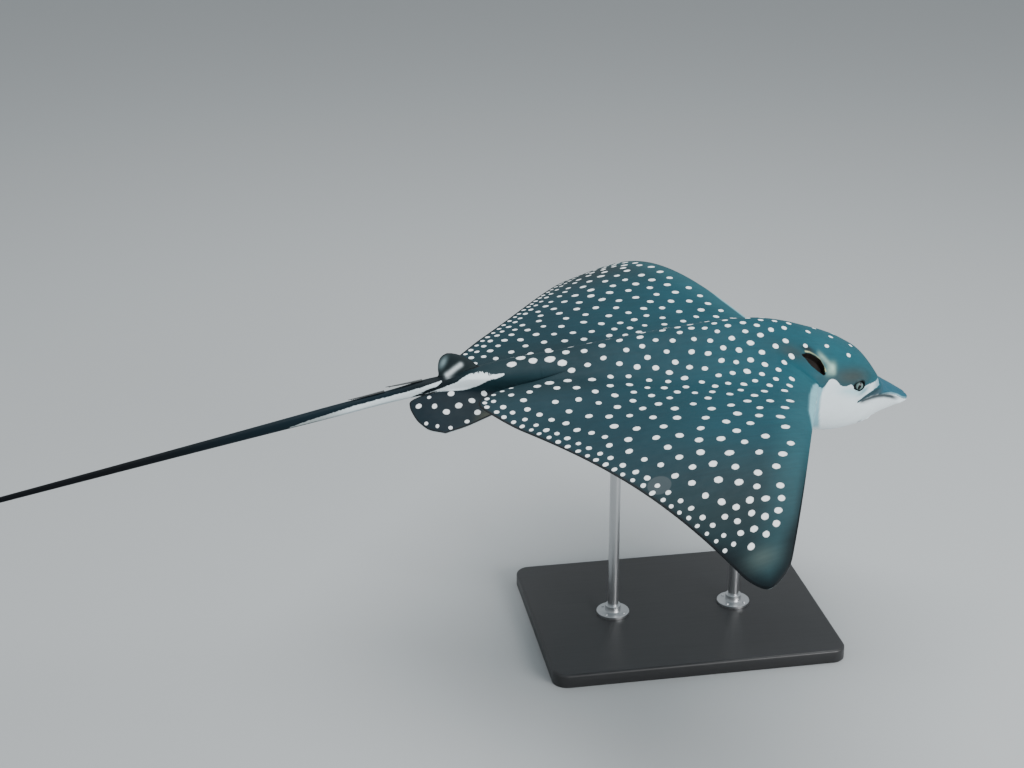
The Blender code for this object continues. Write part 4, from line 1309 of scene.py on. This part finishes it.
def rear_row_rule(radius):
    def rule(at_u, at_y, place, way):
        if abs(at_y) > 0.652 or way.z < 0.2:
            return None
        return 0.0125, radius * (1 - 0.18 * float(ease(abs(at_y), 0.45, 0.62)))

    return rule


def open_rule(to_rear, to_front):
    def rule(at_u, at_y, place, way):
        if not spot_allowed(at_u, at_y, place, way, to_rear, to_front):
            return None
        return spot_rule(at_u, at_y, to_rear)

    return rule


def pelvic_rule(at_u, at_y, place, way):
    out = abs(at_y)
    level = PELVIC_LEVEL - PELVIC_SLOPE * (out - float(rear_width(at_u)))
    edge = float(nearest_on(pelvic_rim_line, np.array([[at_u, out]]))[0][0])
    if abs(place.z - level) > 0.012 or edge < 0.0065 or out < float(rear_width(at_u)) + 0.006:
        return None
    if edge < 0.011:
        return 0.0215, 0.0040
    return 0.0275, 0.0058


for offset, step, radius, first in ROW_OFFSETS:
    lengths = np.linalg.norm(np.diff(rear_rim_line, axis=0), axis=1)
    run = np.concatenate([[0], np.cumsum(lengths)])
    for side in (-1, 1):
        here = first
        while here < run[-1] - 0.05:
            at = np.array([np.interp(here, run, rear_rim_line[:, axis]) for axis in (0, 1)])
            ahead = np.array([np.interp(here + 0.004, run, rear_rim_line[:, axis]) for axis in (0, 1)])
            way = (ahead - at) / np.linalg.norm(ahead - at)
            inward = np.array([-way[1], way[0]]) * (1 if -way[1] < 0 else -1)
            spot = at + inward * (offset + dice.uniform(-0.0014, 0.0014))
            drop_spot(spot[0], side * spot[1], rear_row_rule(radius))
            here += step * dice.uniform(0.86, 1.16)
for _ in range(PELVIC_THROWS):
    drop_spot(dice.uniform(0.84, 1.02), dice.choice((-1, 1)) * dice.uniform(0.03, 0.115), pelvic_rule)
fixed_count = len(spots)
throws = np.array([(dice.uniform(0.12, 0.91), dice.uniform(-0.65, 0.65)) for _ in range(THROWS)])
throw_plan = np.abs(throws)
throws_to_rear = nearest_on(rear_rim_line, throw_plan)[0]
throws_to_front = nearest_on(front_rim_line, throw_plan)[0]
behind_front = throws[:, 0] > np.where(throw_plan[:, 1] > ROOT_FRONT[1], front_edge(throw_plan[:, 1]), 0.12)
before_rear = (throws[:, 0] < rear_edge(throw_plan[:, 1])) | (throw_plan[:, 1] < 0.06)
for index in np.flatnonzero(behind_front & before_rear):
    rule = open_rule(throws_to_rear[index], throws_to_front[index])
    drop_spot(throws[index, 0], throws[index, 1], rule)

# Each free spot is eased away from its nearest fellows a few times, which evens the pattern out as in life
free = np.arange(fixed_count, len(spots))
plan_spots = np.array([spot[0][:2] for spot in spots])
for _ in range(RELAX_ROUNDS):
    gap = plan_spots[free][:, None, :] - plan_spots[None, :, :]
    distance = np.linalg.norm(gap, axis=2) + 1e-9
    distance[np.arange(len(free)), free] = FAR
    wanted = spot_spacing[free][:, None] * RELAX_SPACING
    push_away = np.where(distance < wanted, (wanted - distance) / distance, 0.0)
    moved = plan_spots[free] + RELAX_STEP * np.einsum("ij,ijk->ik", push_away, gap)
    at_plan = np.abs(moved)
    moved_rear = nearest_on(rear_rim_line, at_plan)[0]
    moved_front = nearest_on(front_rim_line, at_plan)[0]
    for row, index in enumerate(free):
        place, way, face, drop = skin_tree.ray_cast(Vector((*moved[row], 0.5)), Vector((0, 0, -1)))
        if place is None or abs(place.z - spots[index][0][2]) > 0.012:
            continue
        if spot_allowed(moved[row][0], moved[row][1], place, way, moved_rear[row], moved_front[row]):
            plan_spots[index] = moved[row]
            spots[index] = (np.array(place), np.array(way), *spots[index][2:])

spot_tree = KDTree(len(spots))
for index, spot in enumerate(spots):
    spot_tree.insert(spot[0], index)
spot_tree.balance()
centres = np.empty(len(flat_mesh.polygons) * 3)
flat_mesh.polygons.foreach_get("center", centres)
face_ways = np.empty(len(flat_mesh.polygons) * 3)
flat_mesh.polygons.foreach_get("normal", face_ways)
centres = centres.reshape(-1, 3)
face_ways = face_ways.reshape(-1, 3)
NO_SPOT = (FAR, FAR, 0.0)
SPOT_REACH = 0.021
corner_count = len(flat_mesh.loops)
spot_places = [np.tile(NO_SPOT, (corner_count, 1)) for _ in range(2)]
corner_points = np.empty(corner_count, int)
flat_mesh.loops.foreach_get("vertex_index", corner_points)
for index in np.flatnonzero((face_ways[:, 2] > 0.02) & (centres[:, 0] < 1.03) & (centres[:, 0] > 0.1)):
    for rank, (at, found, distance) in enumerate(spot_tree.find_n(centres[index], 2)):
        if distance > SPOT_REACH:
            continue
        place, way, radius, stretch, turn = spots[found]
        long_way = np.array([math.cos(turn), math.sin(turn), 0.0])
        long_way -= way * (long_way @ way)
        long_way /= math.sqrt(long_way @ long_way)
        short_way = np.array([
            way[1] * long_way[2] - way[2] * long_way[1],
            way[2] * long_way[0] - way[0] * long_way[2],
            way[0] * long_way[1] - way[1] * long_way[0],
        ])
        face = flat_mesh.polygons[index]
        corners = slice(face.loop_start, face.loop_start + face.loop_total)
        offset = points[corner_points[corners]] - place
        values = np.stack([offset @ long_way / (radius * stretch), offset @ short_way / radius,
                           offset @ way / (0.7 * radius)], 1)
        spot_places[rank][corners] = values
for name, values in zip(("spot_nearest", "spot_second"), spot_places):
    made = flat_mesh.attributes.new(name, "FLOAT_VECTOR", "CORNER")
    made.data.foreach_set("vector", values.ravel())


# ---- The skin's paint ---------------------------------------------------------------------------------
# A satin, slightly moist-looking finish on the cast: fine pores, faint lines along the fin rays and soft
# clouds of tone, with the white and the spots laid crisply over the dark.
SKIN_INSET = 0.00025
SCAR_PLACE = (0.637, -0.477)
SCAR_RADIUS = 0.021
skin, tree, shader = shader_of("ray_skin")


def reads(tree, name):
    return add_node(tree, "ShaderNodeAttribute", {"attribute_name": name})


def ramp(tree, value, low, high):
    """A soft step from 0 at low to 1 at high, which may be the smaller of the two."""
    node = tree.nodes.new("ShaderNodeMapRange")
    node.interpolation_type = "SMOOTHSTEP"
    tree.links.new(value, node.inputs["Value"])
    node.inputs["From Min"].default_value = low
    node.inputs["From Max"].default_value = high
    return node.outputs[0]


place = reads(tree, "flat").outputs["Vector"]
fine = add_node(tree, "ShaderNodeTexNoise", Vector=place, Scale=230.0, Detail=3.0)
cloud = add_node(tree, "ShaderNodeTexNoise", Vector=place, Scale=11.0, Detail=5.0, Roughness=0.62)
ray_lines = add_node(tree, "ShaderNodeMapping", Vector=place, Scale=(9.0, 150.0, 150.0)).outputs[0]
streaks = add_node(tree, "ShaderNodeTexNoise", Vector=ray_lines, Scale=1.0, Detail=3.0, Roughness=0.55)
pores = add_node(tree, "ShaderNodeTexNoise", Vector=place, Scale=1400.0, Detail=2.0)
wrinkles = add_node(tree, "ShaderNodeTexNoise", Vector=place, Scale=70.0, Detail=4.0)

wobble = math_node(tree, "MULTIPLY", math_node(tree, "SUBTRACT", fine.outputs["Fac"], 0.5), 0.0036)
edge_value = math_node(tree, "ADD", reads(tree, "white_edge").outputs["Fac"], wobble)
strokes = add_node(tree, "ShaderNodeMapping", Vector=place, Scale=(430.0, 60.0, 60.0)).outputs[0]
feather = add_node(tree, "ShaderNodeTexNoise", Vector=strokes, Scale=1.0, Detail=2.0)
flat_parts = add_node(tree, "ShaderNodeSeparateXYZ", Vector=place)
flat_u, flat_y, flat_z = flat_parts.outputs
band_start = ramp(tree, flat_u, 0.856, 0.866)
band_end = ramp(tree, flat_u, 0.908, 0.894)
band_top = math_node(tree, "MULTIPLY", band_start, band_end)
band_top = math_node(tree, "MULTIPLY", band_top, ramp(tree, flat_z, 0.022, 0.029))
feather = math_node(tree, "MULTIPLY", math_node(tree, "SUBTRACT", feather.outputs["Fac"], 0.56), 0.028)
edge_value = math_node(tree, "ADD", edge_value, math_node(tree, "MULTIPLY", feather, band_top))
white = ramp(tree, edge_value, -0.0010, 0.0010)

blur = math_node(tree, "MULTIPLY", math_node(tree, "SUBTRACT", fine.outputs["Fac"], 0.5), 0.34)
spot_masks = []
for name in ("spot_nearest", "spot_second"):
    length = add_node(tree, "ShaderNodeVectorMath", {"operation": "LENGTH"})
    tree.links.new(reads(tree, name).outputs["Vector"], length.inputs[0])
    reach = math_node(tree, "ADD", length.outputs["Value"], blur)
    spot_masks.append(ramp(tree, reach, 1.14, 0.86))
spotted = math_node(tree, "MAXIMUM", *spot_masks)

rim_value = reads(tree, "rim").outputs["Fac"]
dark_rim = ramp(tree, rim_value, 0.0042, 0.0022)



def mottled(tree, *patterns):
    """The product of patterns, each given with its strength and its least value."""
    amount = None
    for pattern, strength, least in patterns:
        layer = math_node(tree, "MULTIPLY_ADD", pattern.outputs["Fac"], strength, least)
        amount = layer if amount is None else math_node(tree, "MULTIPLY", amount, layer)
    return amount


shade = mottled(tree, (cloud, 0.44, 0.78), (streaks, 0.34, 0.83), (pores, 0.20, 0.90))
light_shade = mottled(tree, (cloud, 0.10, 0.93), (wrinkles, 0.08, 0.96))


def shaded(tree, colour, amount):
    node = add_node(tree, "ShaderNodeVectorMath", {"operation": "SCALE"})
    tree.links.new(colour, node.inputs[0])
    tree.links.new(amount, node.inputs["Scale"])
    return node.outputs[0]


dark_skin = shaded(tree, reads(tree, "upper_tone").outputs["Color"], shade)
scar_length = math_node(tree, "POWER", math_node(tree, "SUBTRACT", flat_u, SCAR_PLACE[0]), 2.0)
scar_width = math_node(tree, "POWER", math_node(tree, "SUBTRACT", flat_y, SCAR_PLACE[1]), 2.0)
from_scar = math_node(tree, "SQRT", math_node(tree, "ADD", scar_length, scar_width))
scar = math_node(tree, "MULTIPLY", ramp(tree, from_scar, SCAR_RADIUS * 1.04, SCAR_RADIUS * 0.92), 0.8)
dark_skin = mix_colour(tree, scar, dark_skin, tuple(linear(66, 76, 80)))
dark_skin = mix_colour(tree, dark_rim, dark_skin, tuple(linear(12, 20, 24)))
dark_skin = mix_colour(tree, spotted, dark_skin, tuple(linear(250, 253, 253)))
pale_skin = shaded(tree, reads(tree, "lower_tone").outputs["Color"], light_shade)
tree.links.new(mix_colour(tree, white, dark_skin, pale_skin), shader.inputs["Base Color"])
rough = math_node(tree, "MULTIPLY_ADD", wrinkles.outputs["Fac"], 0.16, 0.50)
tree.links.new(rough, shader.inputs["Roughness"])
set_values(shader, Specular_IOR_Level=0.17)
relief = math_node(tree, "MULTIPLY", streaks.outputs["Fac"], 0.9)
relief = math_node(tree, "ADD", relief, wrinkles.outputs["Fac"])
relief = math_node(tree, "ADD", relief, math_node(tree, "MULTIPLY", pores.outputs["Fac"], 0.25))
bump = add_node(tree, "ShaderNodeBump", Strength=0.30, Distance=0.0009, Height=relief)
tree.links.new(bump.outputs[0], shader.inputs["Normal"])

write_points(flat_mesh, pose(points - SKIN_INSET * normals))
flat_mesh.flip_normals()  # posing turns "back" into minus X, which mirrors the faces
ray = mesh_piece("ray_skin", flat_mesh, skin)
FLESH = ("rostral_lobe", "head", "trunk", "pectoral_fin_left", "pectoral_fin_right", "pelvic_fin_left",
         "pelvic_fin_right", "dorsal_fin", "tail_base", "tail_mid", "tail_rear", "tail_tip")
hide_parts(*FLESH)
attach(ray, "root")


# ---- Belly collars ------------------------------------------------------------------------------------
# A thin turned steel ring sits square against the belly where each rod goes in, and hides the joint.
COLLAR_RADIUS = 0.0175
COLLAR_THICK = 0.0030
COLLAR_CHAMFER = 0.0012
COLLAR_LET_IN = 0.0012
COLLAR_CLEAR = 0.0004
posed_tree = BVHTree.FromPolygons([v.co for v in ray.data.vertices], [p.vertices for p in ray.data.polygons])
for where in ("front", "rear"):
    low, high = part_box("stand_rod_" + where)
    foot = Vector(((low[0] + high[0]) / 2, (low[1] + high[1]) / 2, 0.1))
    radius = (high[0] - low[0]) / 2
    belly, way, index, distance = posed_tree.ray_cast(foot, Vector((0, 0, 1)))
    steps = (
        (radius + COLLAR_CLEAR, -COLLAR_THICK),
        (COLLAR_RADIUS - COLLAR_CHAMFER, -COLLAR_THICK),
        (COLLAR_RADIUS, -COLLAR_THICK + COLLAR_CHAMFER),
        (COLLAR_RADIUS, COLLAR_LET_IN),
        (radius + COLLAR_CLEAR, COLLAR_LET_IN),
    )
    ring = turned((0, 0), steps)
    lean = Vector((0, 0, -1)).rotation_difference(way).to_matrix().to_4x4()
    ring.transform(Matrix.Translation(belly) @ lean)
    collar = mesh_piece("belly_collar_" + where, ring, brushed)
    collar.data.set_sharp_from_angle(angle=math.radians(40))
    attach(collar, "root")


# ---- Eyes ---------------------------------------------------------------------------------------------
# Glass eyes with a pale iris and an upright dark slit for a pupil, set behind the lids before the skin was
# cast. The clear front bulges a little.
IRIS_RADIUS = 0.0083
PUPIL_HALF = (0.0030, 0.0074)
PUPIL_LEAN = math.radians(20)
CORNEA_RISE = 0.0004
PUPIL_DEPTH = 0.0003
EYE_SET_BACK = 0.0007
EYE_ROWS = 46
EYE_AROUND = 72


def frame_at(place):
    """Where a flat place lies in the posed animal, and the directions back, left and up there."""
    step = 0.002
    here = pose([place])[0]
    back_way = Vector(pose([np.array(place) + (step, 0, 0)])[0] - here).normalized()
    left_way = Vector(pose([np.array(place) + (0, step, 0)])[0] - here).normalized()
    up_way = back_way.cross(left_way).normalized() * -1
    if up_way.z < 0:
        up_way = -up_way
    left_way = (left_way - back_way * left_way.dot(back_way)).normalized()
    turn = Matrix((back_way, left_way, up_way)).transposed().to_4x4()
    return Matrix.Translation(Vector(here)) @ turn


def set_in_place(mesh, place_frame):
    """Moves a mesh to its place. Back, left and up is a mirrored turn, so the faces are turned outwards."""
    mesh.transform(place_frame)
    mesh.flip_normals()


eye_glass, tree, shader = shader_of("eye_glass")
read = add_node(tree, "ShaderNodeAttribute", {"attribute_name": "eye_place"})
parts = add_node(tree, "ShaderNodeSeparateXYZ", Vector=read.outputs["Vector"])
across, upright = parts.outputs["X"], parts.outputs["Y"]
slit = math_node(tree, "ADD",
                 math_node(tree, "POWER", math_node(tree, "DIVIDE", across, PUPIL_HALF[0]), 2.0),
                 math_node(tree, "POWER", math_node(tree, "DIVIDE", upright, PUPIL_HALF[1]), 2.0))
reach = math_node(tree, "SQRT", math_node(tree, "ADD", math_node(tree, "POWER", across, 2.0),
                                          math_node(tree, "POWER", upright, 2.0)))
spokes = add_node(tree, "ShaderNodeTexNoise", Vector=read.outputs["Vector"], Scale=700.0, Detail=3.0)
iris = mix_colour(tree, spokes.outputs["Fac"], tuple(linear(72, 100, 102)), tuple(linear(132, 152, 146)))


iris_edge = ramp(tree, reach, IRIS_RADIUS * 0.72, IRIS_RADIUS)
iris = mix_colour(tree, iris_edge, iris, tuple(linear(60, 74, 74)))
outside = ramp(tree, reach, IRIS_RADIUS * 0.96, IRIS_RADIUS * 1.05)
ball = mix_colour(tree, outside, iris, tuple(linear(12, 14, 17)))
ball = mix_colour(tree, ramp(tree, slit, 1.25, 0.80), ball, tuple(linear(6, 7, 9)))
tree.links.new(ball, shader.inputs["Base Color"])
set_values(shader, Roughness=0.22, Specular_IOR_Level=0.15, Coat_Weight=0.12, Coat_Roughness=0.03)

for side, where in ((1, "left"), (-1, "right")):
    eye_frame = frame_at(EYE_CENTRE * np.array([1, side, 1]))
    tilts = np.linspace(0.0, math.pi, EYE_ROWS + 1)[1:-1]
    turns = np.arange(EYE_AROUND) * 2 * math.pi / EYE_AROUND
    rings = []
    marks = []
    for tilt in tilts:
        flat_reach = EYE_RADIUS * math.sin(tilt)
        x = flat_reach * np.cos(turns)
        z = flat_reach * np.sin(turns)
        lean_x = x * math.cos(PUPIL_LEAN) + z * math.sin(PUPIL_LEAN)
        lean_z = -x * math.sin(PUPIL_LEAN) + z * math.cos(PUPIL_LEAN)
        clear = CORNEA_RISE * (1 - ease(flat_reach, IRIS_RADIUS * 0.6, IRIS_RADIUS * 1.15))
        sunk = np.hypot(lean_x / PUPIL_HALF[0], lean_z / PUPIL_HALF[1])
        clear = (clear - PUPIL_DEPTH * (1 - ease(sunk, 0.7, 1.1))) * (tilt < math.pi / 2)
        scale = (EYE_RADIUS - EYE_SET_BACK + clear) / EYE_RADIUS
        y = side * EYE_RADIUS * math.cos(tilt)
        rings.append(np.stack([x * scale, y * scale, z * scale], 1))
        marks.append(np.stack([lean_x, lean_z, np.full_like(x, math.cos(tilt) * 0.01)], 1))
    ball_mesh = loft_mesh(rings)
    made = ball_mesh.attributes.new("eye_place", "FLOAT_VECTOR", "POINT")
    made.data.foreach_set("vector", np.concatenate(marks).ravel())
    set_in_place(ball_mesh, eye_frame)
    eye = mesh_piece("glass_eye_" + where, ball_mesh, eye_glass)
    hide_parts("eye_" + where)
    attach(eye, "root")


# ---- Stings -------------------------------------------------------------------------------------------
# Two flat, pointed stings of horn lie one behind the other on top of the tail, behind the dorsal fin. Both
# edges carry small barbs that point forward, towards the animal.
STING_STARTS = (0.988, 1.063)
STING_LENGTH = 0.072
STING_WIDTH = 0.0062
STING_THICK = 0.0024
STING_LIFT = 0.002
STING_CLEAR = 0.0004
BARB_COUNT = 15
BARB_LENGTH = 0.0026
BARB_SPREAD = math.radians(24)

horn, tree, shader = shader_of("sting_horn")
place = add_node(tree, "ShaderNodeTexCoord").outputs["Object"]
cloud = add_node(tree, "ShaderNodeTexNoise", Vector=place, Scale=260.0, Detail=4.0)
tone = mix_colour(tree, cloud.outputs["Fac"], tuple(linear(20, 26, 30)), tuple(linear(52, 56, 56)))
tree.links.new(tone, shader.inputs["Base Color"])
set_values(shader, Roughness=0.38)


def barb_tree(finish):
    """A row of small cones along the narrowing edge of a blade."""
    tree = bpy.data.node_groups.new("barb_row", "GeometryNodeTree")
    face = tree.interface
    face.new_socket("Geometry", in_out="INPUT", socket_type="NodeSocketGeometry")
    sockets = (("Count", "Int"), ("Start", "Float"), ("Step", "Float"), ("Blade length", "Float"),
               ("Half width", "Float"), ("Barb length", "Float"), ("Turn", "Float"), ("Seed", "Int"))
    for label, kind in sockets:
        face.new_socket(label, in_out="INPUT", socket_type="NodeSocket" + kind)
    face.new_socket("Geometry", in_out="OUTPUT", socket_type="NodeSocketGeometry")
    given = tree.nodes.new("NodeGroupInput")
    link = tree.links.new
    start = tree.nodes.new("ShaderNodeCombineXYZ")
    step = tree.nodes.new("ShaderNodeCombineXYZ")
    link(given.outputs["Start"], start.inputs["X"])
    link(given.outputs["Step"], step.inputs["X"])
    line = tree.nodes.new("GeometryNodeMeshLine")
    link(given.outputs["Count"], line.inputs["Count"])
    link(start.outputs[0], line.inputs["Start Location"])
    link(step.outputs[0], line.inputs["Offset"])
    position = tree.nodes.new("GeometryNodeInputPosition")
    split = tree.nodes.new("ShaderNodeSeparateXYZ")
    link(position.outputs[0], split.inputs[0])
    part = math_node(tree, "DIVIDE", split.outputs["X"], given.outputs["Blade length"])
    width = math_node(tree, "SUBTRACT", 1.0, math_node(tree, "POWER", part, 2.2))
    width = math_node(tree, "MULTIPLY", width, given.outputs["Half width"])
    edge = tree.nodes.new("ShaderNodeCombineXYZ")
    link(width, edge.inputs["Y"])
    moved = tree.nodes.new("GeometryNodeSetPosition")
    link(line.outputs[0], moved.inputs["Geometry"])
    link(edge.outputs[0], moved.inputs["Offset"])
    cone = tree.nodes.new("GeometryNodeMeshCone")
    cone.inputs["Vertices"].default_value = 10
    cone.inputs["Radius Top"].default_value = 0.05
    cone.inputs["Radius Bottom"].default_value = 0.24
    cone.inputs["Depth"].default_value = 1.0
    turned_way = tree.nodes.new("ShaderNodeCombineXYZ")
    turned_way.inputs["Y"].default_value = -math.pi / 2
    link(given.outputs["Turn"], turned_way.inputs["Z"])
    change = tree.nodes.new("FunctionNodeRandomValue")
    change.inputs[2].default_value = 0.75
    change.inputs[3].default_value = 1.10
    link(given.outputs["Seed"], change.inputs["Seed"])
    size = math_node(tree, "MULTIPLY", given.outputs["Barb length"], change.outputs[1])
    spread = tree.nodes.new("GeometryNodeInstanceOnPoints")
    link(moved.outputs[0], spread.inputs["Points"])
    link(cone.outputs["Mesh"], spread.inputs["Instance"])
    link(turned_way.outputs[0], spread.inputs["Rotation"])
    link(size, spread.inputs["Scale"])
    real = tree.nodes.new("GeometryNodeRealizeInstances")
    coat = tree.nodes.new("GeometryNodeSetMaterial")
    coat.inputs["Material"].default_value = finish
    out = tree.nodes.new("NodeGroupOutput")
    link(spread.outputs[0], real.inputs[0])
    link(real.outputs[0], coat.inputs["Geometry"])
    link(coat.outputs[0], out.inputs[0])
    return tree


barbs_rule = barb_tree(horn)
for number, start in enumerate(STING_STARTS, 1):
    sting_frame = frame_at((start, 0.0, float(body_top(start)) + STING_CLEAR))
    rings = []
    for t in np.linspace(0, 1, 44):
        half = STING_WIDTH / 2 * (1 - t**2.2) + 0.0004
        thick = STING_THICK * (1 - 0.6 * t)
        low = STING_LIFT * t * t
        section = ((half, 0.15), (half * 0.86, 0.55), (half * 0.45, 1.0), (half * 0.20, 0.97), (0, 0.80),
                   (-half * 0.20, 0.97), (-half * 0.45, 1.0), (-half * 0.86, 0.55), (-half, 0.15),
                   (-half * 0.8, 0.0), (half * 0.8, 0.0))
        rings.append([(STING_LENGTH * t, across, low + thick * lift) for across, lift in section])
    blade_mesh = loft_mesh(rings)
    set_in_place(blade_mesh, sting_frame)
    blade = mesh_piece(f"sting_blade_{number}", blade_mesh, horn)
    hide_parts(f"sting_{number}")
    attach(blade, "root")
    for side, where in ((1, "left"), (-1, "right")):
        values = {
            "Count": BARB_COUNT,
            "Start": 0.22 * STING_LENGTH,
            "Step": 0.74 * STING_LENGTH / BARB_COUNT,
            "Blade length": STING_LENGTH,
            "Half width": STING_WIDTH / 2,
            "Barb length": BARB_LENGTH,
            "Turn": -BARB_SPREAD,
            "Seed": number * 2 + side,
        }
        row = grown("barbs", barbs_rule, values)
        row.transform(Matrix.Translation((0, 0, 0.4 * STING_THICK)))
        if side < 0:
            row.transform(Matrix.Scale(-1, 4, Vector((0, 1, 0))))
            row.flip_normals()
        set_in_place(row, sting_frame)
        barbs = mesh_piece(f"sting_barbs_{number}_{where}", row, horn)
        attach(barbs, "root")


# ---- Floor, lights and camera -------------------------------------------------------------------------
# A plain pale studio floor, an even pale sky and two soft lamps, one overhead and one in front on the ray's
# right. None of it belongs to the model.
FLOOR_REACH = 30.0
SKY_STRENGTH = 0.64
CAMERA_PLACE = (-0.9048, -3.2591, 1.9318)
CAMERA_RIGHT = (0.9853, -0.1708, -0.0028)
CAMERA_BACK = (-0.1567, -0.9100, 0.3837)
CAMERA_LENS = 64.48
CAMERA_SENSOR = 36.0
CAMERA_FAR = 200.0

floor_finish, tree, shader = shader_of("studio_floor")
set_values(shader, Base_Color=(0.43, 0.445, 0.45, 1.0), Roughness=0.85)
floor_mesh = bpy.data.meshes.new("studio_floor")
corners = [(x * FLOOR_REACH, y * FLOOR_REACH, 0.0) for x, y in ((-1, -1), (1, -1), (1, 1), (-1, 1))]
floor_mesh.from_pydata(corners, [], [(0, 1, 2, 3)])
floor = mesh_piece("studio_floor", floor_mesh, floor_finish)
floor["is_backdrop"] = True

world = bpy.data.worlds.new("studio")
world.use_nodes = True
world.node_tree.nodes["Background"].inputs["Color"].default_value = (0.80, 0.86, 0.90, 1.0)
world.node_tree.nodes["Background"].inputs["Strength"].default_value = SKY_STRENGTH
bpy.context.scene.world = world


def soft_light(name, place, target, size, power, colour=(1, 1, 1)):
    lamp = bpy.data.lights.new(name, "AREA")
    lamp.shape = "RECTANGLE"
    lamp.size, lamp.size_y = size
    lamp.energy = power
    lamp.color = colour
    made = bpy.data.objects.new(name, lamp)
    made.location = place
    made.rotation_euler = (Vector(target) - Vector(place)).to_track_quat("-Z", "Y").to_euler()
    bpy.context.scene.collection.objects.link(made)


soft_light("overhead", (0.2, 0.6, 4.2), (-0.1, 0, 0.5), (4.0, 3.0), 180, (0.97, 0.99, 1.0))
soft_light("front_fill", (2.6, -3.8, 1.6), (0.2, 0, 0.5), (2.6, 1.8), 210)

camera = bpy.data.cameras.new("camera")
camera.sensor_width = CAMERA_SENSOR
camera.lens = CAMERA_LENS
camera.clip_end = CAMERA_FAR
camera_object = bpy.data.objects.new("camera", camera)
right = Vector(CAMERA_RIGHT).normalized()
back = Vector(CAMERA_BACK).normalized()
rise = back.cross(right).normalized()
frame_axes = Matrix((right, rise, back)).transposed().to_4x4()
camera_object.matrix_world = Matrix.Translation(CAMERA_PLACE) @ frame_axes
bpy.context.scene.collection.objects.link(camera_object)
bpy.context.scene.camera = camera_object

dressed_low, dressed_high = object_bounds()
sizes = {
    "cad_box": [list(cad_low), list(cad_high)],
    "visual_box": [list(dressed_low), list(dressed_high)],
}
